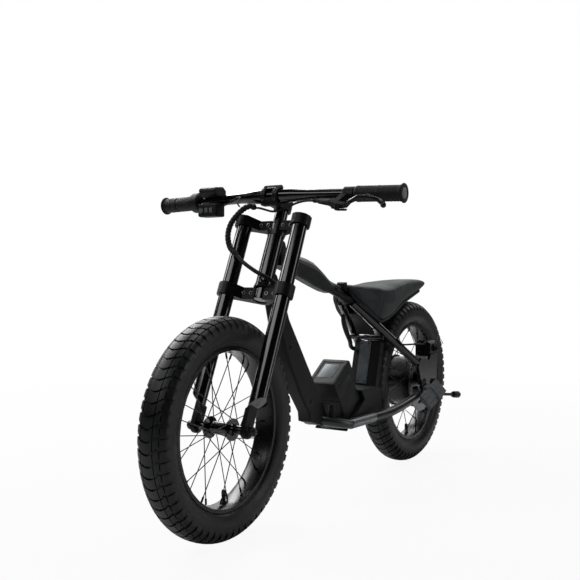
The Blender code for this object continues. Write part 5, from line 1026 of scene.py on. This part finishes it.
def makeSeat(setup):
    # an even mesh of the cushion, swollen, smoothed, then pulled in along its seams
    bm = copyOf("seat_cushion")
    mesh = bpy.data.meshes.new("seatCover")
    bm.to_mesh(mesh)
    bm.free()
    piece = makeObject("seatCover", mesh)
    voxels = piece.modifiers.new("evenMesh", "REMESH")
    voxels.mode = "VOXEL"
    voxels.voxel_size = setup["voxel"]
    piece.data = evaluated(piece)
    blowUp(piece, setup)
    edge = [Vector(p) for p in setup["upperEdge"]]
    crease = [Vector(p) for p in setup["sideCrease"]]
    bm = bmesh.new()
    bm.from_mesh(piece.data)
    for k in range(setup["smoothing"]):
        bmesh.ops.smooth_vert(bm, verts=bm.verts, factor=0.5, use_axis_x=True, use_axis_y=True,
                              use_axis_z=True)
    bm.normal_update()
    for v in bm.verts:
        # the same seams on both flanks
        spot = Vector((v.co.x, abs(v.co.y), v.co.z))
        gap = min(nearest(spot, edge), nearest(spot, crease) * setup["creaseShare"])
        if gap < setup["seamWidth"]:
            v.co -= v.normal * setup["seamDepth"] * (1 - (gap / setup["seamWidth"]) ** 2) ** 2
    skin = BVHTree.FromBMesh(bm)
    bm.to_mesh(piece.data)
    bm.free()
    piece.data.materials.clear()
    piece.data.materials.append(finishes["seatVinyl"])
    for polygon in piece.data.polygons:
        polygon.use_smooth = True
    softSkin = piece.modifiers.new("softSkin", "SUBSURF")
    softSkin.levels = softSkin.render_levels = 1
    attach(piece, bodyOf("seat_cushion"))
    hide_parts("seat_cushion")
    return skin, edge


def makePiping(skin, edge, setup):
    # piping sewn into both upper seams, laid on the cover and evened out
    bm = bmesh.new()
    steps = setup["pipingSteps"]
    for hand in (1, -1):
        line = smoothLine([mirrored(p, hand) for p in edge], 10)
        reach = lineLength(line)
        marks = [reach * k / steps for k in range(steps + 1)]
        laid = [skin.find_nearest(p)[0] for p in spaced(line, marks)]
        for k in range(3):
            between = [(a + b + c) / 3 for a, b, c in zip(laid, laid[1:], laid[2:])]
            laid = [laid[0]] + between + [laid[-1]]
        bentTube(bm, laid, marks, lambda s, turn: setup["piping"], 8)
    settle(bm, "seatPiping", "seatVinyl", bodyOf("seat_cushion"), keepAngle=50)


seatSkin, upperSeam = makeSeat(seatPiece)
makePiping(seatSkin, upperSeam, seatPiece)
print("seat ready")


# harness: smooth loom with a spiral wrap on its upper part
harnessPiece = {
    "radius": 0.0042, "wrapRadius": 0.0062, "wrapLength": 0.15, "pitch": 0.0075, "depth": 0.001,
    "bandFrom": 0.12, "bandTo": 0.8, "taper": 0.002, "fineStep": 0.001, "coarseSteps": 70, "sides": 18,
    "bendStart": (0.244, 0.026, 0.4915), "bendEnd": (0.256, -0.0446, 0.6605),
    "route": [
        (0.2537, -0.032, 0.6585), (0.2537, -0.04, 0.6585), (0.256, -0.0446, 0.6605),
        (0.265, -0.058, 0.6525), (0.28, -0.0745, 0.6269), (0.29, -0.0778, 0.5992), (0.295, -0.0691, 0.5737),
        (0.3, -0.0501, 0.5587), (0.305, -0.0288, 0.5418), (0.307, 0.0026, 0.5232), (0.297, 0.0224, 0.5109),
        (0.28, 0.033, 0.499), (0.257, 0.037, 0.493), (0.245, 0.033, 0.4915), (0.244, 0.026, 0.4915),
        (0.244, 0.0176, 0.4915)]}


def makeHarness(setup):
    line = smoothLine([Vector(p) for p in setup["route"]], 12)
    step, count = setup["fineStep"], setup["coarseSteps"]
    fine = [step * k for k in range(int(setup["wrapLength"] / step) + 6)]
    rest = lineLength(line) - fine[-1]
    marks = fine + [fine[-1] + rest * (k + 1) / count for k in range(count)]

    def widthAt(s, turn):
        if s > setup["wrapLength"]:
            return setup["radius"]
        # one flat band wound round and round, with an open gap between its turns
        phase = (s / setup["pitch"] - turn / tau) % 1.0
        groove = 0.0 if setup["bandFrom"] < phase < setup["bandTo"] else setup["depth"]
        end = min(1.0, s / setup["taper"], (setup["wrapLength"] - s) / setup["taper"])
        return setup["radius"] + (setup["wrapRadius"] - setup["radius"] - groove) * end

    bm = bmesh.new()
    bentTube(bm, spaced(line, marks), marks, widthAt, setup["sides"])
    piece = settle(bm, "harnessLoom", "softRubber", None, keepAngle=50)
    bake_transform(piece)
    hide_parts("harness")


makeHarness(harnessPiece)
print("harness ready")
